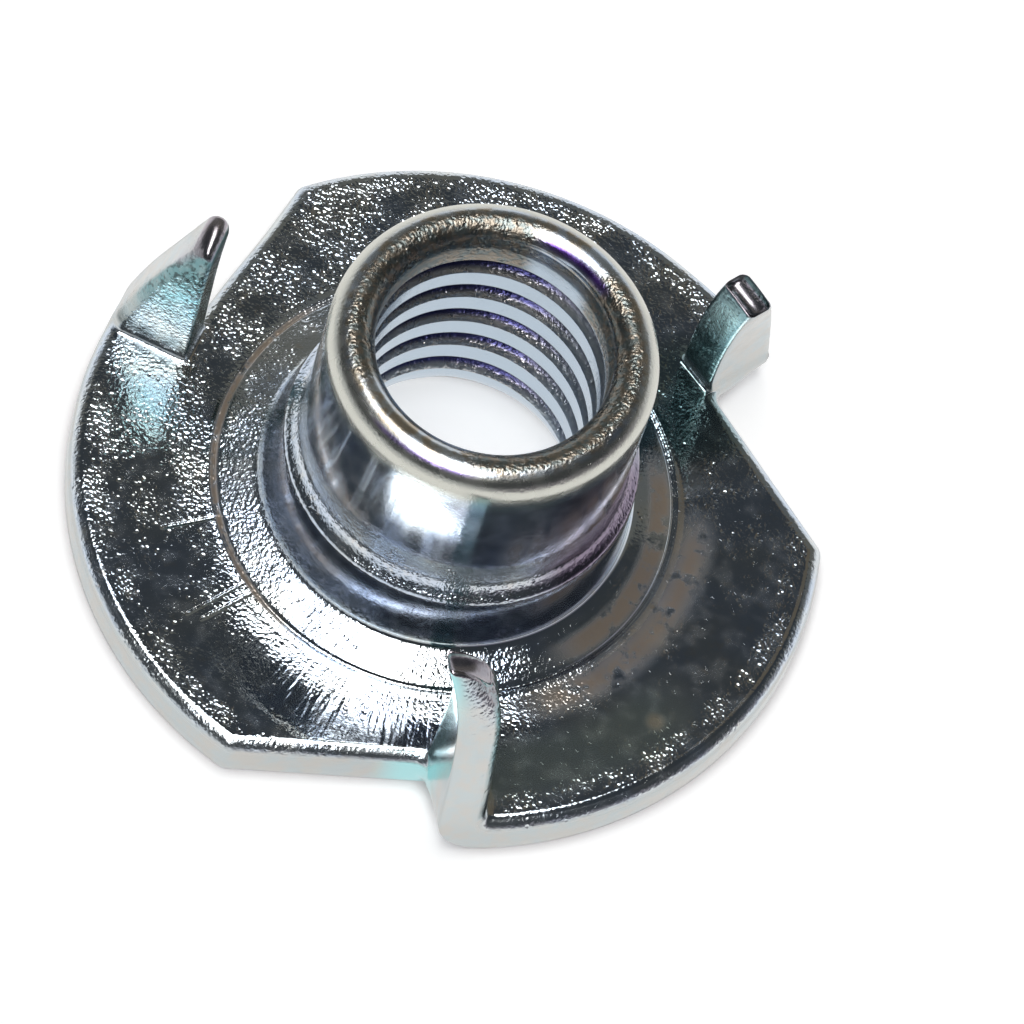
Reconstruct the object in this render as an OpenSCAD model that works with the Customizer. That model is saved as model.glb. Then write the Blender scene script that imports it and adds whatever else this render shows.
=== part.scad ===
// Tee nut: a pronged T-nut pressed and drawn from one disc of steel sheet.
// A round flange carries three prongs, each a half segment of the rim slit free along a chord and
// folded up, and the sheet at its centre is drawn up into a stepped barrel with a rolled lip.
// The origin is on the bore's axis, in the plane of the flange's underside, and +Z is up the barrel.

/* [Flange] */
// Diameter over the round parts of the flange
flange_d = 22.2; // [20:0.1:30]
// Thickness of the sheet
sheet_t = 1.3; // [1:0.05:1.5]
// Radius of the roll on the flange's upper edge
edge_r = 0.45; // [0.1:0.05:0.6]
// Radius of the fine pressed ring around the hub
ring_r = 6.8; // [6.5:0.1:7.2]
// Width of the fine pressed ring
ring_w = 0.22; // [0.1:0.02:0.4]
// Radius at which the dished middle meets the flat of the flange
dish_r = 8.3; // [8:0.1:8.6]
// Height of the dish above the flat, measured at the pressed ring
dish_h = 0.12; // [0.04:0.01:0.2]

/* [Barrel] */
// Overall height from the underside to the top of the lip
nut_h = 10; // [8:0.1:16]
// Outside diameter of the barrel
barrel_d = 9.6; // [9.2:0.1:10]
// Diameter of the bore at the thread's crests
bore_d = 6.8; // [6.4:0.05:7]
// Radius at which the step on the barrel's foot ends
step_r = 5.2; // [5.1:0.05:5.3]
// Height at which the barrel starts to sweep out to its step
step_z = 4.45; // [4:0.05:5]
// Radius of the sweep from the barrel out to its step
sweep_r = 0.65; // [0.55:0.05:0.8]
// Radius on the step's outer edge
step_edge_r = 0.2; // [0.1:0.02:0.3]
// Radius of the crease where the foot meets the hub
crease_r = 5.45; // [5.35:0.05:5.6]
// Fillet in the crease
crease_fillet = 0.25; // [0.1:0.05:0.4]
// Rise of the hub from the pressed ring to the crease
hub_rise = 0.26; // [0.1:0.02:0.4]
// Draw radius at the bore's mouth on the underside
draw_r = 2.4; // [1.5:0.1:3]

/* [Prongs] */
// Number of prongs
prongs = 3; // [2:1:4]
// Direction of the first prong's fold line, in degrees about the bore
fold_angle = -68; // [-180:1:180]
// Angle from the chord's normal to the fold line, in degrees
fold_lead = 5.9; // [3:0.1:8]
// Distance from the bore's axis to the chord that the prongs are slit along
chord_n = 9.02; // [8.9:0.02:9.6]
// Inside radius of the fold
fold_r = 0.12; // [0.08:0.02:0.4]
// Outside radius of the fold
fold_out_r = 1; // [0.7:0.05:1.2]
// How far the fold swells the prong's foot beyond the sheet's thickness
foot_swell = 0.16; // [0.1:0.02:0.3]
// Height at which the prong is back to the sheet's thickness
swell_z = 3.6; // [3:0.1:4]
// Height of the prong's tip
prong_h = 7.2; // [6.8:0.1:7.8]
// Height at which a prong starts to lean back
lean_z = 4.4; // [4:0.1:5]
// Radius of the lean, measured to the middle of the sheet
lean_r = 7.2; // [6:0.1:9]
// Radius of the prong's outer edge
blade_r = 24; // [22:1:40]
// Distance from the axis to the prong's outer edge, at its foot
blade_out = 11.04; // [10.9:0.02:11.06]
// Distance from the axis to the prong's inner edge, at its foot
blade_in = 8.5; // [8.4:0.02:8.55]
// Distance from the axis to the prong's inner edge, at its tip
blade_tip_in = 8.42; // [8.2:0.02:8.46]
// Radius of the prong's tip, seen from the rim
tip_r = 0.38; // [0.3:0.02:0.4]
// Radius that the tip is rounded over to, seen from the side
tip_dome_r = 1.1; // [0.9:0.05:1.4]

/* [Hidden] */
$fn = 96;

flange_r = flange_d / 2;
barrel_r = barrel_d / 2;
bore_r = bore_d / 2;
// The lip is rolled to half the wall, so its section is a half round.
lip_r = (barrel_r - bore_r) / 2;
ring_z = sheet_t + dish_h;
crease_z = ring_z + hub_rise;
// Radius of the dish's sweep: it leaves the flat tangentially and climbs dish_h at the ring.
dish_sweep = (pow(dish_r - ring_r, 2) + pow(dish_h, 2)) / (2 * dish_h);
// Height at which the barrel's sweep reaches the step's edge.
step_edge_z = step_z - sqrt(pow(sweep_r, 2) - pow(sweep_r - (step_r - barrel_r), 2));
// Height of the fold's inner round's axis, and how far the prong's back stands from the fold line.
fold_z = sheet_t + fold_r;
foot_back = fold_z + foot_swell;
over = 1; // how far a cutting shape runs past what it cuts
blade_bite = 0.15; // how far the plate runs into a blade's foot
foot_sink = 0.15; // height at which a blade's foot starts, inside the plate
lap = 0.004; // how far a small round laps the two faces that it joins
step_angle = 360 / prongs;
chord_angle = fold_angle - fold_lead;

// Unit vector along v.
function unit(v) = v / norm(v);
// The vector v turned a quarter turn clockwise.
function clockwise(v) = [v[1], -v[0]];
// Where the lines p + s*u and q + w*v cross.
function cross_at(p, u, q, v) =
    p + u * ((q[0] - p[0]) * v[1] - (q[1] - p[1]) * v[0]) / (u[0] * v[1] - u[1] * v[0]);

// Foot of the barrel, from the crease up to the step's edge.
foot_low = [crease_r, crease_z];
foot_top = [step_r, step_edge_z];
foot_dir = unit(foot_top - foot_low);
hub_dir = unit([ring_r, ring_z] - foot_low);

// Centre of the round on the step's edge: it touches the foot's face and the barrel's sweep.
sweep_c = [barrel_r + sweep_r, step_z];
edge_base = foot_low - clockwise(foot_dir) * step_edge_r;
edge_gap = edge_base - sweep_c;
edge_b = edge_gap * foot_dir;
edge_c2 = edge_gap * edge_gap - pow(sweep_r + step_edge_r, 2);
edge_run = -edge_b - sqrt(pow(edge_b, 2) - edge_c2);
edge_c = edge_base + foot_dir * edge_run;
edge_on_foot = edge_c + clockwise(foot_dir) * step_edge_r;
edge_on_sweep = edge_c + unit(sweep_c - edge_c) * step_edge_r;

// Centre of the fillet in the crease, and the points where it meets the foot and the hub.
crease_c = cross_at(foot_low + clockwise(foot_dir) * crease_fillet, foot_dir,
                    foot_low - clockwise(hub_dir) * crease_fillet, hub_dir);
crease_on_foot = crease_c - clockwise(foot_dir) * crease_fillet;
crease_on_hub = crease_c + clockwise(hub_dir) * crease_fillet;

// The tip's circle sits inside the tip of the inner edge, at the prong's height.
inner_dir = unit([blade_tip_in - blade_in, prong_h - fold_z]);
tip_c = [blade_tip_in, prong_h - tip_r] + clockwise(inner_dir) * tip_r;
tip_on_inner = tip_c - clockwise(inner_dir) * tip_r;
// Outer edge of a prong: an arc about blade_c from the foot, tangent to the tip's circle.
foot_out = [blade_out, fold_z];
tip_way = tip_c - foot_out;
tip_far = norm(tip_way);
arc_run = (pow(blade_r, 2) - pow(blade_r - tip_r, 2) + pow(tip_far, 2)) / (2 * tip_far);
arc_off = sqrt(pow(blade_r, 2) - pow(arc_run, 2));
blade_c = foot_out + unit(tip_way) * arc_run - clockwise(unit(tip_way)) * arc_off;
tip_on_outer = blade_c + unit(tip_c - blade_c) * blade_r;
// Side view: the lean turns about lean_c, and the tip's dome about dome_c, inside the lean's front.
lean_c = [sheet_t / 2 - fold_z - lean_r, lean_z];
dome_rise = prong_h - tip_dome_r - lean_z;
dome_run = sqrt(pow(lean_r + sheet_t / 2 - tip_dome_r, 2) - pow(dome_rise, 2));
dome_c = lean_c + [dome_run, dome_rise];
// How far the lean turns: enough to carry the blade past its tip.
lean_turn = asin((prong_h + over - lean_z) / (lean_r + sheet_t));

// Half section of the barrel, hub and flange, with the radius along X and the height along Y.
module half_section() {
    difference() {
        union() {
            wall_section();
            foot_section();
            plate_section();
            hub_section();
        }
        draw_cut();
        translate([ring_r, ring_z + ring_w / 4]) circle(r = ring_w / 2);
    }
}

// The barrel's wall and its rolled lip.
module wall_section() {
    translate([bore_r, 0]) square([barrel_r - bore_r, nut_h - lip_r]);
    translate([bore_r + lip_r, nut_h - lip_r]) circle(r = lip_r);
}

// The barrel's foot, with its step and the fillet in the crease.
module foot_section() {
    difference() {
        union() {
            polygon([[bore_r, 0], [crease_on_hub[0], 0], crease_on_hub, crease_on_foot, edge_on_foot,
                     edge_c, edge_on_sweep, [barrel_r, step_z], [bore_r, step_z]]);
            translate(edge_c) circle(r = step_edge_r);
        }
        translate(sweep_c) circle(r = sweep_r);
        translate(crease_c) circle(r = crease_fillet + lap);
    }
}

// The flat plate from the bore out to the rolled edge.
module plate_section() {
    translate([bore_r, 0]) square([flange_r - edge_r - bore_r, sheet_t]);
    translate([bore_r, 0]) square([flange_r - bore_r, sheet_t - edge_r]);
    translate([flange_r - edge_r, sheet_t - edge_r]) circle(r = edge_r);
}

// The hub's cone, and the dish that eases it into the flat.
module hub_section() {
    polygon([[bore_r, 0], [ring_r, 0], [ring_r, ring_z], crease_on_hub, [bore_r, crease_on_hub[1]]]);
    difference() {
        translate([ring_r, 0]) square([dish_r - ring_r, ring_z]);
        translate([dish_r, sheet_t + dish_sweep]) circle(r = dish_sweep, $fn = 360);
    }
}

// What the draw radius takes off the bore's mouth.
module draw_cut() {
    difference() {
        translate([bore_r - over, -over]) square([draw_r + over, draw_r + over]);
        translate([bore_r + draw_r, draw_r]) circle(r = draw_r);
    }
}

// Section of what is sheared away beyond a straight edge at distance n, leaving a rolled upper edge.
module shear_section(n) {
    difference() {
        translate([n - edge_r, -over]) square([flange_r + over - n + edge_r, sheet_t + 2 * over]);
        translate([n - edge_r - over, -2 * over]) square([edge_r + over, sheet_t - edge_r + 2 * over]);
        translate([n - edge_r, sheet_t - edge_r]) circle(r = edge_r);
    }
}

// The half segment that a prong leaves open, in the chord's frame: X along its normal.
module segment_cut() {
    difference() {
        rotate([90, 0, 0]) translate([0, 0, -2 * over])
            linear_extrude(height = flange_r + 2 * over) shear_section(chord_n);
        rotate([0, 0, fold_lead]) translate([0, blade_bite - foot_back, -2 * over])
            cube([2 * flange_r, 2 * flange_r, sheet_t + 4 * over]);
    }
}

// What the fold takes off the plate and the blade's foot beyond its outer radius, in the chord's frame.
module fold_trim() {
    intersection() {
        rotate([0, 0, fold_lead]) rotate([90, 0, 90]) linear_extrude(height = 2 * flange_r)
            difference() {
                translate([-foot_back - over, -over]) square([fold_out_r + over, fold_out_r + over]);
                translate([fold_out_r - foot_back, fold_out_r]) circle(r = fold_out_r + lap);
            }
        translate([chord_n, -flange_r, -over]) cube([flange_r, 2 * flange_r, fold_z + 2 * over]);
    }
}

// One prong's blade, in the fold's frame: X along the fold line, the blade standing on the -Y side.
module blade() {
    intersection() {
        rotate([90, 0, 90]) linear_extrude(height = flange_r + over) blade_side();
        rotate([90, 0, 0]) linear_extrude(height = flange_r) blade_front();
        translate([blade_c[0], 0, blade_c[1]]) rotate([90, 0, 0]) rotate_extrude($fn = 360) drum_section();
    }
}

// Section of the drum that trims a prong's outer edge: the rolled edge faces the fold line's side.
module drum_section() {
    translate([0, fold_r]) square([blade_r - edge_r, flange_r - fold_r]);
    translate([0, fold_r + edge_r]) square([blade_r, flange_r - fold_r - edge_r]);
    translate([blade_r - edge_r, fold_r + edge_r]) circle(r = edge_r);
}

// Side view of a blade: its distance from the fold line along X, and the height along Y.
module blade_side() {
    polygon([[-foot_back, foot_sink], [-fold_r, foot_sink], [-fold_r, lean_z], [-fold_z, lean_z],
             [-fold_z, swell_z]]);
    intersection() {
        translate(lean_c) difference() {
            circle(r = lean_r + sheet_t / 2, $fn = 360);
            circle(r = lean_r - sheet_t / 2, $fn = 360);
            rotate([0, 0, lean_turn]) translate([-2 * lean_r, 0]) square([4 * lean_r, 4 * lean_r]);
            translate([-2 * lean_r, -4 * lean_r]) square([4 * lean_r, 4 * lean_r]);
        }
        dome_cover();
    }
}

// What the dome over the tip leaves standing, seen from the side.
module dome_cover() {
    polygon([[-prong_h, 0], [over, 0], dome_c + unit(dome_c - lean_c) * (tip_dome_r + over), dome_c,
             [-prong_h, dome_c[1]]]);
    translate(dome_c) circle(r = tip_dome_r + lap);
}

// Front view of a blade: the distance from the bore's axis along X, and the height along Y.
module blade_front() {
    translate([blade_in, foot_sink]) square([blade_out - blade_in, fold_z - foot_sink]);
    intersection() {
        polygon([[blade_in, fold_z], [blade_out + over, fold_z], [blade_out + over, tip_on_outer[1]],
                 tip_on_outer, tip_on_inner]);
        translate(blade_c) circle(r = blade_r, $fn = 720);
    }
    translate(tip_c) circle(r = tip_r + lap);
}

module tee_nut() {
    color("silver") difference() {
        union() {
            difference() {
                rotate_extrude() half_section();
                for (i = [0 : prongs - 1]) rotate([0, 0, chord_angle + i * step_angle]) segment_cut();
            }
            for (i = [0 : prongs - 1]) rotate([0, 0, fold_angle + i * step_angle]) blade();
        }
        for (i = [0 : prongs - 1]) rotate([0, 0, chord_angle + i * step_angle]) fold_trim();
    }
}

tee_nut();
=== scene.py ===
"""Looks for a pressed steel tee nut: its full mesh, its zinc plate, and a plain pale studio.

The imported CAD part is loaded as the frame, and one finely modelled piece stands for it. Sizes are in
millimetres in the CAD frame: +Z up the barrel, the origin on the bore's axis in the plane of the flange's
underside, and -Y at the front.
"""

import logging
import math
from collections.abc import Callable
from dataclasses import dataclass, field
from enum import Enum

import bmesh
import bpy
import numpy as np
from mathutils import Matrix, Vector
from mathutils.geometry import delaunay_2d_cdt


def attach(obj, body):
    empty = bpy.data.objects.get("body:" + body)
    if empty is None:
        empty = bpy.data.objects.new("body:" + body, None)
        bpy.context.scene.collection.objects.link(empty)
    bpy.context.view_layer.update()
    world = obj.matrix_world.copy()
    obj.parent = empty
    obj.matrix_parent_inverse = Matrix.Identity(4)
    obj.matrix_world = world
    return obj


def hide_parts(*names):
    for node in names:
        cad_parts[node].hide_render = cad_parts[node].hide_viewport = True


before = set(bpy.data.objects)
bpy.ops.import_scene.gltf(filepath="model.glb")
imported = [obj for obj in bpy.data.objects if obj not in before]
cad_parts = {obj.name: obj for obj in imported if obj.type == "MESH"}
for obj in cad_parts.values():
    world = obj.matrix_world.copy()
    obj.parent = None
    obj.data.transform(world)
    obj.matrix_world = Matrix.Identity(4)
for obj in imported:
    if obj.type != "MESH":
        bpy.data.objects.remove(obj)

LOG = logging.getLogger("tee_nut")
MM = 0.001
ROOT_BODY = "root"
CAD_NODE = "tee_nut"
PIECE = "tee_nut_plated"
WELD = 0.0004
ROW = 0.866
WHITE = (1.0, 1.0, 1.0)

Flat = tuple[float, float]
Place = tuple[float, float, float]
Colour = tuple[float, float, float]
Station = tuple[float, float, float, float, float, float]
Socket = bpy.types.NodeSocket


class Side(Enum):
    """The two broad sides of the sheet."""

    TOP = "top"
    UNDER = "under"


class Op(Enum):
    """The sums that a shader graph can do."""

    ADD = "ADD"
    SUBTRACT = "SUBTRACT"
    MULTIPLY = "MULTIPLY"
    DIVIDE = "DIVIDE"
    MAXIMUM = "MAXIMUM"
    SQUARE_ROOT = "SQRT"
    POWER = "POWER"
    ABSOLUTE = "ABSOLUTE"


def smoothstep(low: float, high: float, value: float) -> float:
    """Eases from 0 to 1 as a value goes from low to high.

    Args:
        low: where the ease starts.
        high: where the ease ends.
        value: the value to ease.

    Returns:
        A share from 0 to 1.
    """
    share = min(1.0, max(0.0, (value - low) / (high - low)))
    return share * share * (3.0 - 2.0 * share)


def arc(centre: Flat, radius: float, start: float, end: float, steps: int) -> list[Flat]:
    """Points along an arc, both ends included.

    Args:
        centre: the arc's centre.
        radius: its radius in mm.
        start: its first angle in degrees.
        end: its last angle in degrees.
        steps: how many chords it is made of.

    Returns:
        The points, steps + 1 of them.
    """
    angles = np.radians(np.linspace(start, end, steps + 1))
    return [(centre[0] + radius * math.cos(a), centre[1] + radius * math.sin(a)) for a in angles]


def rounded_corner(before: Flat, corner: Flat, after: Flat, radius: float, steps: int) -> list[Flat]:
    """Points of the round that replaces a corner between two straight runs.

    Args:
        before: a point on the run into the corner.
        corner: the sharp corner.
        after: a point on the run out of the corner.
        radius: the round's radius in mm.
        steps: how many chords the round is made of.

    Returns:
        The round's points, from the run in to the run out.
    """
    p, q, r = (np.array(v, float) for v in (before, corner, after))
    u = (q - p) / np.linalg.norm(q - p)
    v = (r - q) / np.linalg.norm(r - q)
    turn = math.acos(max(-1.0, min(1.0, float(u @ v))))
    run = radius * math.tan(turn / 2.0)
    side = 1.0 if u[0] * v[1] - u[1] * v[0] > 0 else -1.0
    normal = np.array([-u[1], u[0]]) * side
    centre = q - u * run + normal * radius
    first = math.atan2(*(q - u * run - centre)[::-1])
    points = []
    for share in np.linspace(0.0, 1.0, steps + 1):
        a = first + side * turn * share
        points.append((float(centre[0] + radius * math.cos(a)), float(centre[1] + radius * math.sin(a))))
    return points


class Mesher:
    """Gathers points in mm and faces, and turns them into one mesh object."""

    def __init__(self) -> None:
        self.points: list[Place] = []
        self.faces: list[tuple[int, ...]] = []

    def add(self, point: Place) -> int:
        """Adds one point.

        Args:
            point: its place in mm.

        Returns:
            Its number.
        """
        self.points.append((float(point[0]), float(point[1]), float(point[2])))
        return len(self.points) - 1

    def add_row(self, row: list[Place]) -> list[int]:
        """Adds a row of points.

        Args:
            row: their places in mm.

        Returns:
            Their numbers.
        """
        return [self.add(p) for p in row]

    def skin(self, rows: list[list[int]], closed: bool = False) -> None:
        """Lays quads between rows of equal length.

        Args:
            rows: point numbers, row by row.
            closed: whether each row's last point joins its first.
        """
        for low, high in zip(rows, rows[1:]):
            count = len(low)
            for i in range(count if closed else count - 1):
                j = (i + 1) % count
                self.faces.append((low[i], low[j], high[j], high[i]))

    def fill(
        self,
        loops: list[list[int]],
        flat: dict[int, Flat],
        seeds: list[Flat],
        place: Callable[[float, float], Place],
    ) -> None:
        """Fills a region between loops of existing points with triangles.

        Args:
            loops: the outer loop first, then any holes, as point numbers.
            flat: each loop point's place in the region's own flat coordinates.
            seeds: further places in the flat coordinates, used where they fall well inside the region.
            place: turns a flat place into a place in mm.
        """
        ids: list[int] = []
        coords: list[Vector] = []
        edges: list[tuple[int, int]] = []
        polygons = []
        for loop in loops:
            first = len(ids)
            for number in loop:
                ids.append(number)
                coords.append(Vector(flat[number]))
            size = len(loop)
            edges.extend((first + k, first + (k + 1) % size) for k in range(size))
            polygons.append(np.array([flat[number] for number in loop]))
        for seed in seeds:
            coords.append(Vector(seed))
        out, _, triangles, origins, _, _ = delaunay_2d_cdt(coords, edges, [], 0, 1e-7)
        numbers: list[int] = []
        for k, place_2d in enumerate(out):
            old = [o for o in origins[k] if o < len(ids)]
            if old:
                numbers.append(ids[old[0]])
            else:
                numbers.append(self.add(place(place_2d[0], place_2d[1])))
        for triangle in triangles:
            middle = sum((out[k] for k in triangle), Vector((0.0, 0.0))) / len(triangle)
            if inside(polygons[0], middle) and not any(inside(p, middle) for p in polygons[1:]):
                self.faces.append(tuple(numbers[k] for k in triangle))

    def build(self, name: str) -> bpy.types.Object:
        """Makes the mesh object, welded and facing outwards.

        Args:
            name: the object's name.

        Returns:
            The new object, linked to the scene.
        """
        mesh = bpy.data.meshes.new(name)
        mesh.from_pydata([tuple(c * MM for c in p) for p in self.points], [], self.faces)
        body = bmesh.new()
        body.from_mesh(mesh)
        bmesh.ops.remove_doubles(body, verts=body.verts, dist=WELD * MM)
        bmesh.ops.dissolve_degenerate(body, edges=body.edges, dist=WELD * MM)
        loose = [v for v in body.verts if not v.link_faces]
        bmesh.ops.delete(body, geom=loose, context="VERTS")
        bmesh.ops.recalc_face_normals(body, faces=body.faces)
        open_edges = sum(1 for e in body.edges if len(e.link_faces) != 2)
        body.to_mesh(mesh)
        body.free()
        mesh.shade_smooth()
        piece = bpy.data.objects.new(name, mesh)
        bpy.context.scene.collection.objects.link(piece)
        counts = (len(mesh.vertices), len(mesh.polygons), open_edges)
        LOG.info("%s: %d points, %d faces, %d open edges", name, *counts)
        return piece


def inside(polygon: np.ndarray, point: Vector) -> bool:
    """Whether a flat point is inside a polygon.

    Args:
        polygon: its corners, one per row.
        point: the point.

    Returns:
        True if it is inside.
    """
    x, y = point[0], point[1]
    ax, ay = polygon[:, 0], polygon[:, 1]
    bx, by = np.roll(ax, -1), np.roll(ay, -1)
    crosses = (ay > y) != (by > y)
    with np.errstate(divide="ignore", invalid="ignore"):
        at = ax + (y - ay) * (bx - ax) / (by - ay)
    return bool(np.count_nonzero(crosses & (x < at)) % 2)


def clear_of(polygon: np.ndarray, point: Flat, gap: float) -> bool:
    """Whether a flat point is at least a gap away from a polygon's corners.

    Args:
        polygon: its corners, one per row.
        point: the point.
        gap: the least distance.

    Returns:
        True if it is clear.
    """
    return bool(((polygon - np.array(point)) ** 2).sum(axis=1).min() > gap * gap)


@dataclass
class Core:
    """The drawn middle of the nut: dish, pressed ring, hub, step, barrel, lip, threaded bore and mouth."""

    sheet: float = 1.3
    dish_r: float = 8.3
    ring_r: float = 6.8
    ring_w: float = 0.22
    dish_h: float = 0.079
    dish_end: float = 8.05
    dish_blend: float = 0.45
    dish_angle: float = 268.0
    dish_side: Flat = (0.60, 0.93)
    dish_least: float = 0.2
    crease_r: float = 5.45
    crease_fillet: float = 0.25
    hub_rise: float = 0.26
    step_r: float = 5.2
    step_z: float = 4.45
    sweep_r: float = 0.65
    step_edge_r: float = 0.2
    barrel_r: float = 4.8
    bore_r: float = 3.4
    height: float = 10.0
    draw_r: float = 2.4
    columns: int = 288
    ring_shift: float = 0.16
    pitch: float = 1.411
    thread_r: float = 3.94
    root_half: float = 0.05
    flank_angle: float = 30.0
    thread_soft: float = 0.03
    worn_share: float = 0.72
    worn_low_z: float = 8.1
    worn_high_z: float = 8.7
    fade_z: float = 0.05
    groove_z: float = 5.42
    groove_angle: float = 90.0
    half_phases: tuple[float, ...] = (0.13, 0.185, 0.215, 0.245, 0.33, 0.405, 0.43, 0.46)
    wrapped_r: float = 3.75
    mouth_z: float = 0.9

    @property
    def lip_r(self) -> float:
        """The lip's radius, half the barrel's wall."""
        return (self.barrel_r - self.bore_r) / 2

    def outer_profile(self) -> list[Flat]:
        """The outside's section from the flat of the flange up to the top of the bore.

        Returns:
            Points as (radius, height) in mm.
        """
        ring_z = self.sheet + self.dish_h
        crease = (self.crease_r, ring_z + self.hub_rise)
        slope = self.dish_h / (self.dish_end - self.dish_blend / 2 - self.ring_r)
        points = []
        for r in np.linspace(self.dish_r, self.ring_r + self.ring_w * 0.75, 9):
            blend = min(max(self.dish_end - r, 0.0), self.dish_blend)
            straight = max(self.dish_end - self.dish_blend - r, 0.0)
            points.append((float(r), self.sheet + slope * (blend**2 / (2 * self.dish_blend) + straight)))
        half = self.ring_w / 2
        points.append((self.ring_r + half * 1.15, ring_z + 0.012))
        points += arc((self.ring_r, ring_z + half * 0.5), half, -25, -155, 6)
        points.append((self.ring_r - half * 1.15, ring_z + 0.026))
        hub_slope = self.hub_rise / (self.ring_r - self.crease_r)
        hub_foot = (self.ring_r - self.ring_w, ring_z + hub_slope * self.ring_w)
        points.append(hub_foot)
        for share in (0.25, 0.5, 0.75):
            points.append(tuple(hub_foot[i] + (crease[i] - hub_foot[i]) * share for i in range(2)))
        inset = self.sweep_r - (self.step_r - self.barrel_r)
        edge_z = self.step_z - math.sqrt(self.sweep_r**2 - inset**2)
        edge = (self.step_r, edge_z)
        points += rounded_corner(hub_foot, crease, edge, self.crease_fillet, 6)
        for share in (0.3, 0.55, 0.8):
            points.append(tuple(crease[i] + (edge[i] - crease[i]) * share for i in range(2)))
        centre = (self.barrel_r + self.sweep_r, self.step_z)
        start = math.degrees(math.atan2(edge_z - self.step_z, self.step_r - centre[0])) % 360
        ledge = arc(centre, self.sweep_r, start, 180, 12)
        points += rounded_corner(crease, edge, ledge[2], self.step_edge_r, 6)
        points += ledge[3:]
        lip = self.lip_r
        for z in np.linspace(self.step_z, self.height - lip, 12)[1:-1]:
            points.append((self.barrel_r, float(z)))
        points += arc((self.bore_r + lip, self.height - lip), lip, 0, 180, 24)
        return points

    def mouth_profile(self) -> list[Flat]:
        """The draw radius at the bore's mouth, from the bore down to the underside.

        Returns:
            Points as (radius, height) in mm.
        """
        return arc((self.bore_r + self.draw_r, self.draw_r), self.draw_r, 180, 270, 14)

    def shift(self, r: float, z: float) -> float:
        """How far a ring of the outside sits off the bore's axis, as the press left it.

        Args:
            r: the ring's radius in mm.
            z: its height in mm.

        Returns:
            The distance in mm.
        """
        rings = 1.0 - smoothstep(self.ring_r + self.ring_w, self.dish_r - 0.05, r)
        foot = 1.0 - smoothstep(self.sheet + 0.6, self.step_z - 0.4, z)
        return self.ring_shift * rings * foot

    def ring(self, mesher: Mesher, r: float, z: float) -> list[int]:
        """Adds one ring of points.

        Args:
            mesher: what gathers the mesh.
            r: the ring's radius in mm.
            z: its height in mm.

        Returns:
            The points' numbers.
        """
        off = self.shift(r, z) if r > self.bore_r + 0.01 else 0.0
        row = []
        for k in range(self.columns):
            a = 2 * math.pi * k / self.columns
            row.append((r * math.cos(a) - off, r * math.sin(a), z - self.sag(r, z, a)))
        return mesher.add_row(row)

    def sag(self, r: float, z: float, a: float) -> float:
        """How far the dish sits low, away from the side where the punch bore hardest.

        Args:
            r: the point's radius in mm.
            z: its height in mm.
            a: its angle in radians.

        Returns:
            The drop in mm.
        """
        if not self.crease_r < r < self.dish_r:
            return 0.0
        share = (z - self.sheet) / self.dish_h
        if r < self.ring_r:
            share = (r - self.crease_r) / (self.ring_r - self.crease_r)
        side = smoothstep(*self.dish_side, math.cos(a - math.radians(self.dish_angle)))
        return (1.0 - self.dish_least) * (1.0 - side) * self.dish_h * min(share, 1.0)

    def thread_radius(self, phase: float, z: float) -> float:
        """The tapped wall's radius, in one turn of the thread.

        Args:
            phase: the place across one pitch, with the groove's middle at 0.5.
            z: the height in mm.

        Returns:
            The radius in mm.
        """
        base = self.base_radius(z)
        depth = self.thread_r - self.bore_r
        off = abs(phase - 0.5) * self.pitch
        run = max(0.0, off - self.root_half)
        cut = min(self.thread_r - run / math.tan(math.radians(self.flank_angle)), self.thread_r)
        if cut > self.bore_r:
            full = 1.0 - self.worn_share * smoothstep(self.worn_low_z, self.worn_high_z, z)
            cut = self.bore_r + (cut - self.bore_r) * full
        gap = cut - base
        soft = self.thread_soft
        blend = 0.5 * (gap + math.sqrt(gap * gap + soft * soft)) - 0.5 * soft * math.exp(-abs(gap) / depth)
        return base + max(0.0, blend)

    def build_thread(self, mesher: Mesher, top_z: float, low_z: float) -> None:
        """Lays the helical wall of the bore between two heights.

        Args:
            mesher: what gathers the mesh.
            top_z: the height of the ring at the bore's top, in mm.
            low_z: the height of the ring at the mouth, in mm.
        """
        phases = (0.0, *self.half_phases, 0.5, *(1.0 - phase for phase in reversed(self.half_phases)))
        origin = self.groove_z - self.pitch * (0.5 + self.groove_angle / 360.0)
        turns_low = int(math.floor((low_z - origin) / self.pitch)) - 1
        turns_high = int(math.ceil((top_z - origin) / self.pitch)) + 1
        steps = [t + p for t in range(turns_low, turns_high) for p in phases]
        rows = []
        for step in steps:
            row = []
            for k in range(self.columns + 1):
                share = k / self.columns
                z = origin + self.pitch * (step + share)
                a = 2 * math.pi * share
                if z <= low_z:
                    r = self.base_radius(low_z)
                    z = low_z
                elif z >= top_z:
                    r = self.base_radius(top_z)
                    z = top_z
                else:
                    low_fade = smoothstep(low_z, low_z + self.fade_z, z)
                    fade = low_fade * (1 - smoothstep(top_z - self.fade_z, top_z, z))
                    r = self.base_radius(z) * (1 - fade) + self.thread_radius(step % 1.0, z) * fade
                row.append((r * math.cos(a), r * math.sin(a), z))
            rows.append(mesher.add_row(row))
        mesher.skin(rows)

    def base_radius(self, z: float) -> float:
        """The bore's plain radius at a height, before it is tapped.

        Args:
            z: the height in mm.

        Returns:
            The radius in mm.
        """
        lip = self.lip_r
        top = self.height - lip
        if z > top:
            return self.bore_r + lip - math.sqrt(max(0.0, lip**2 - (z - top) ** 2))
        if z < self.draw_r:
            return self.bore_r + self.draw_r - math.sqrt(max(0.0, self.draw_r**2 - (self.draw_r - z) ** 2))
        return self.bore_r

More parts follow.
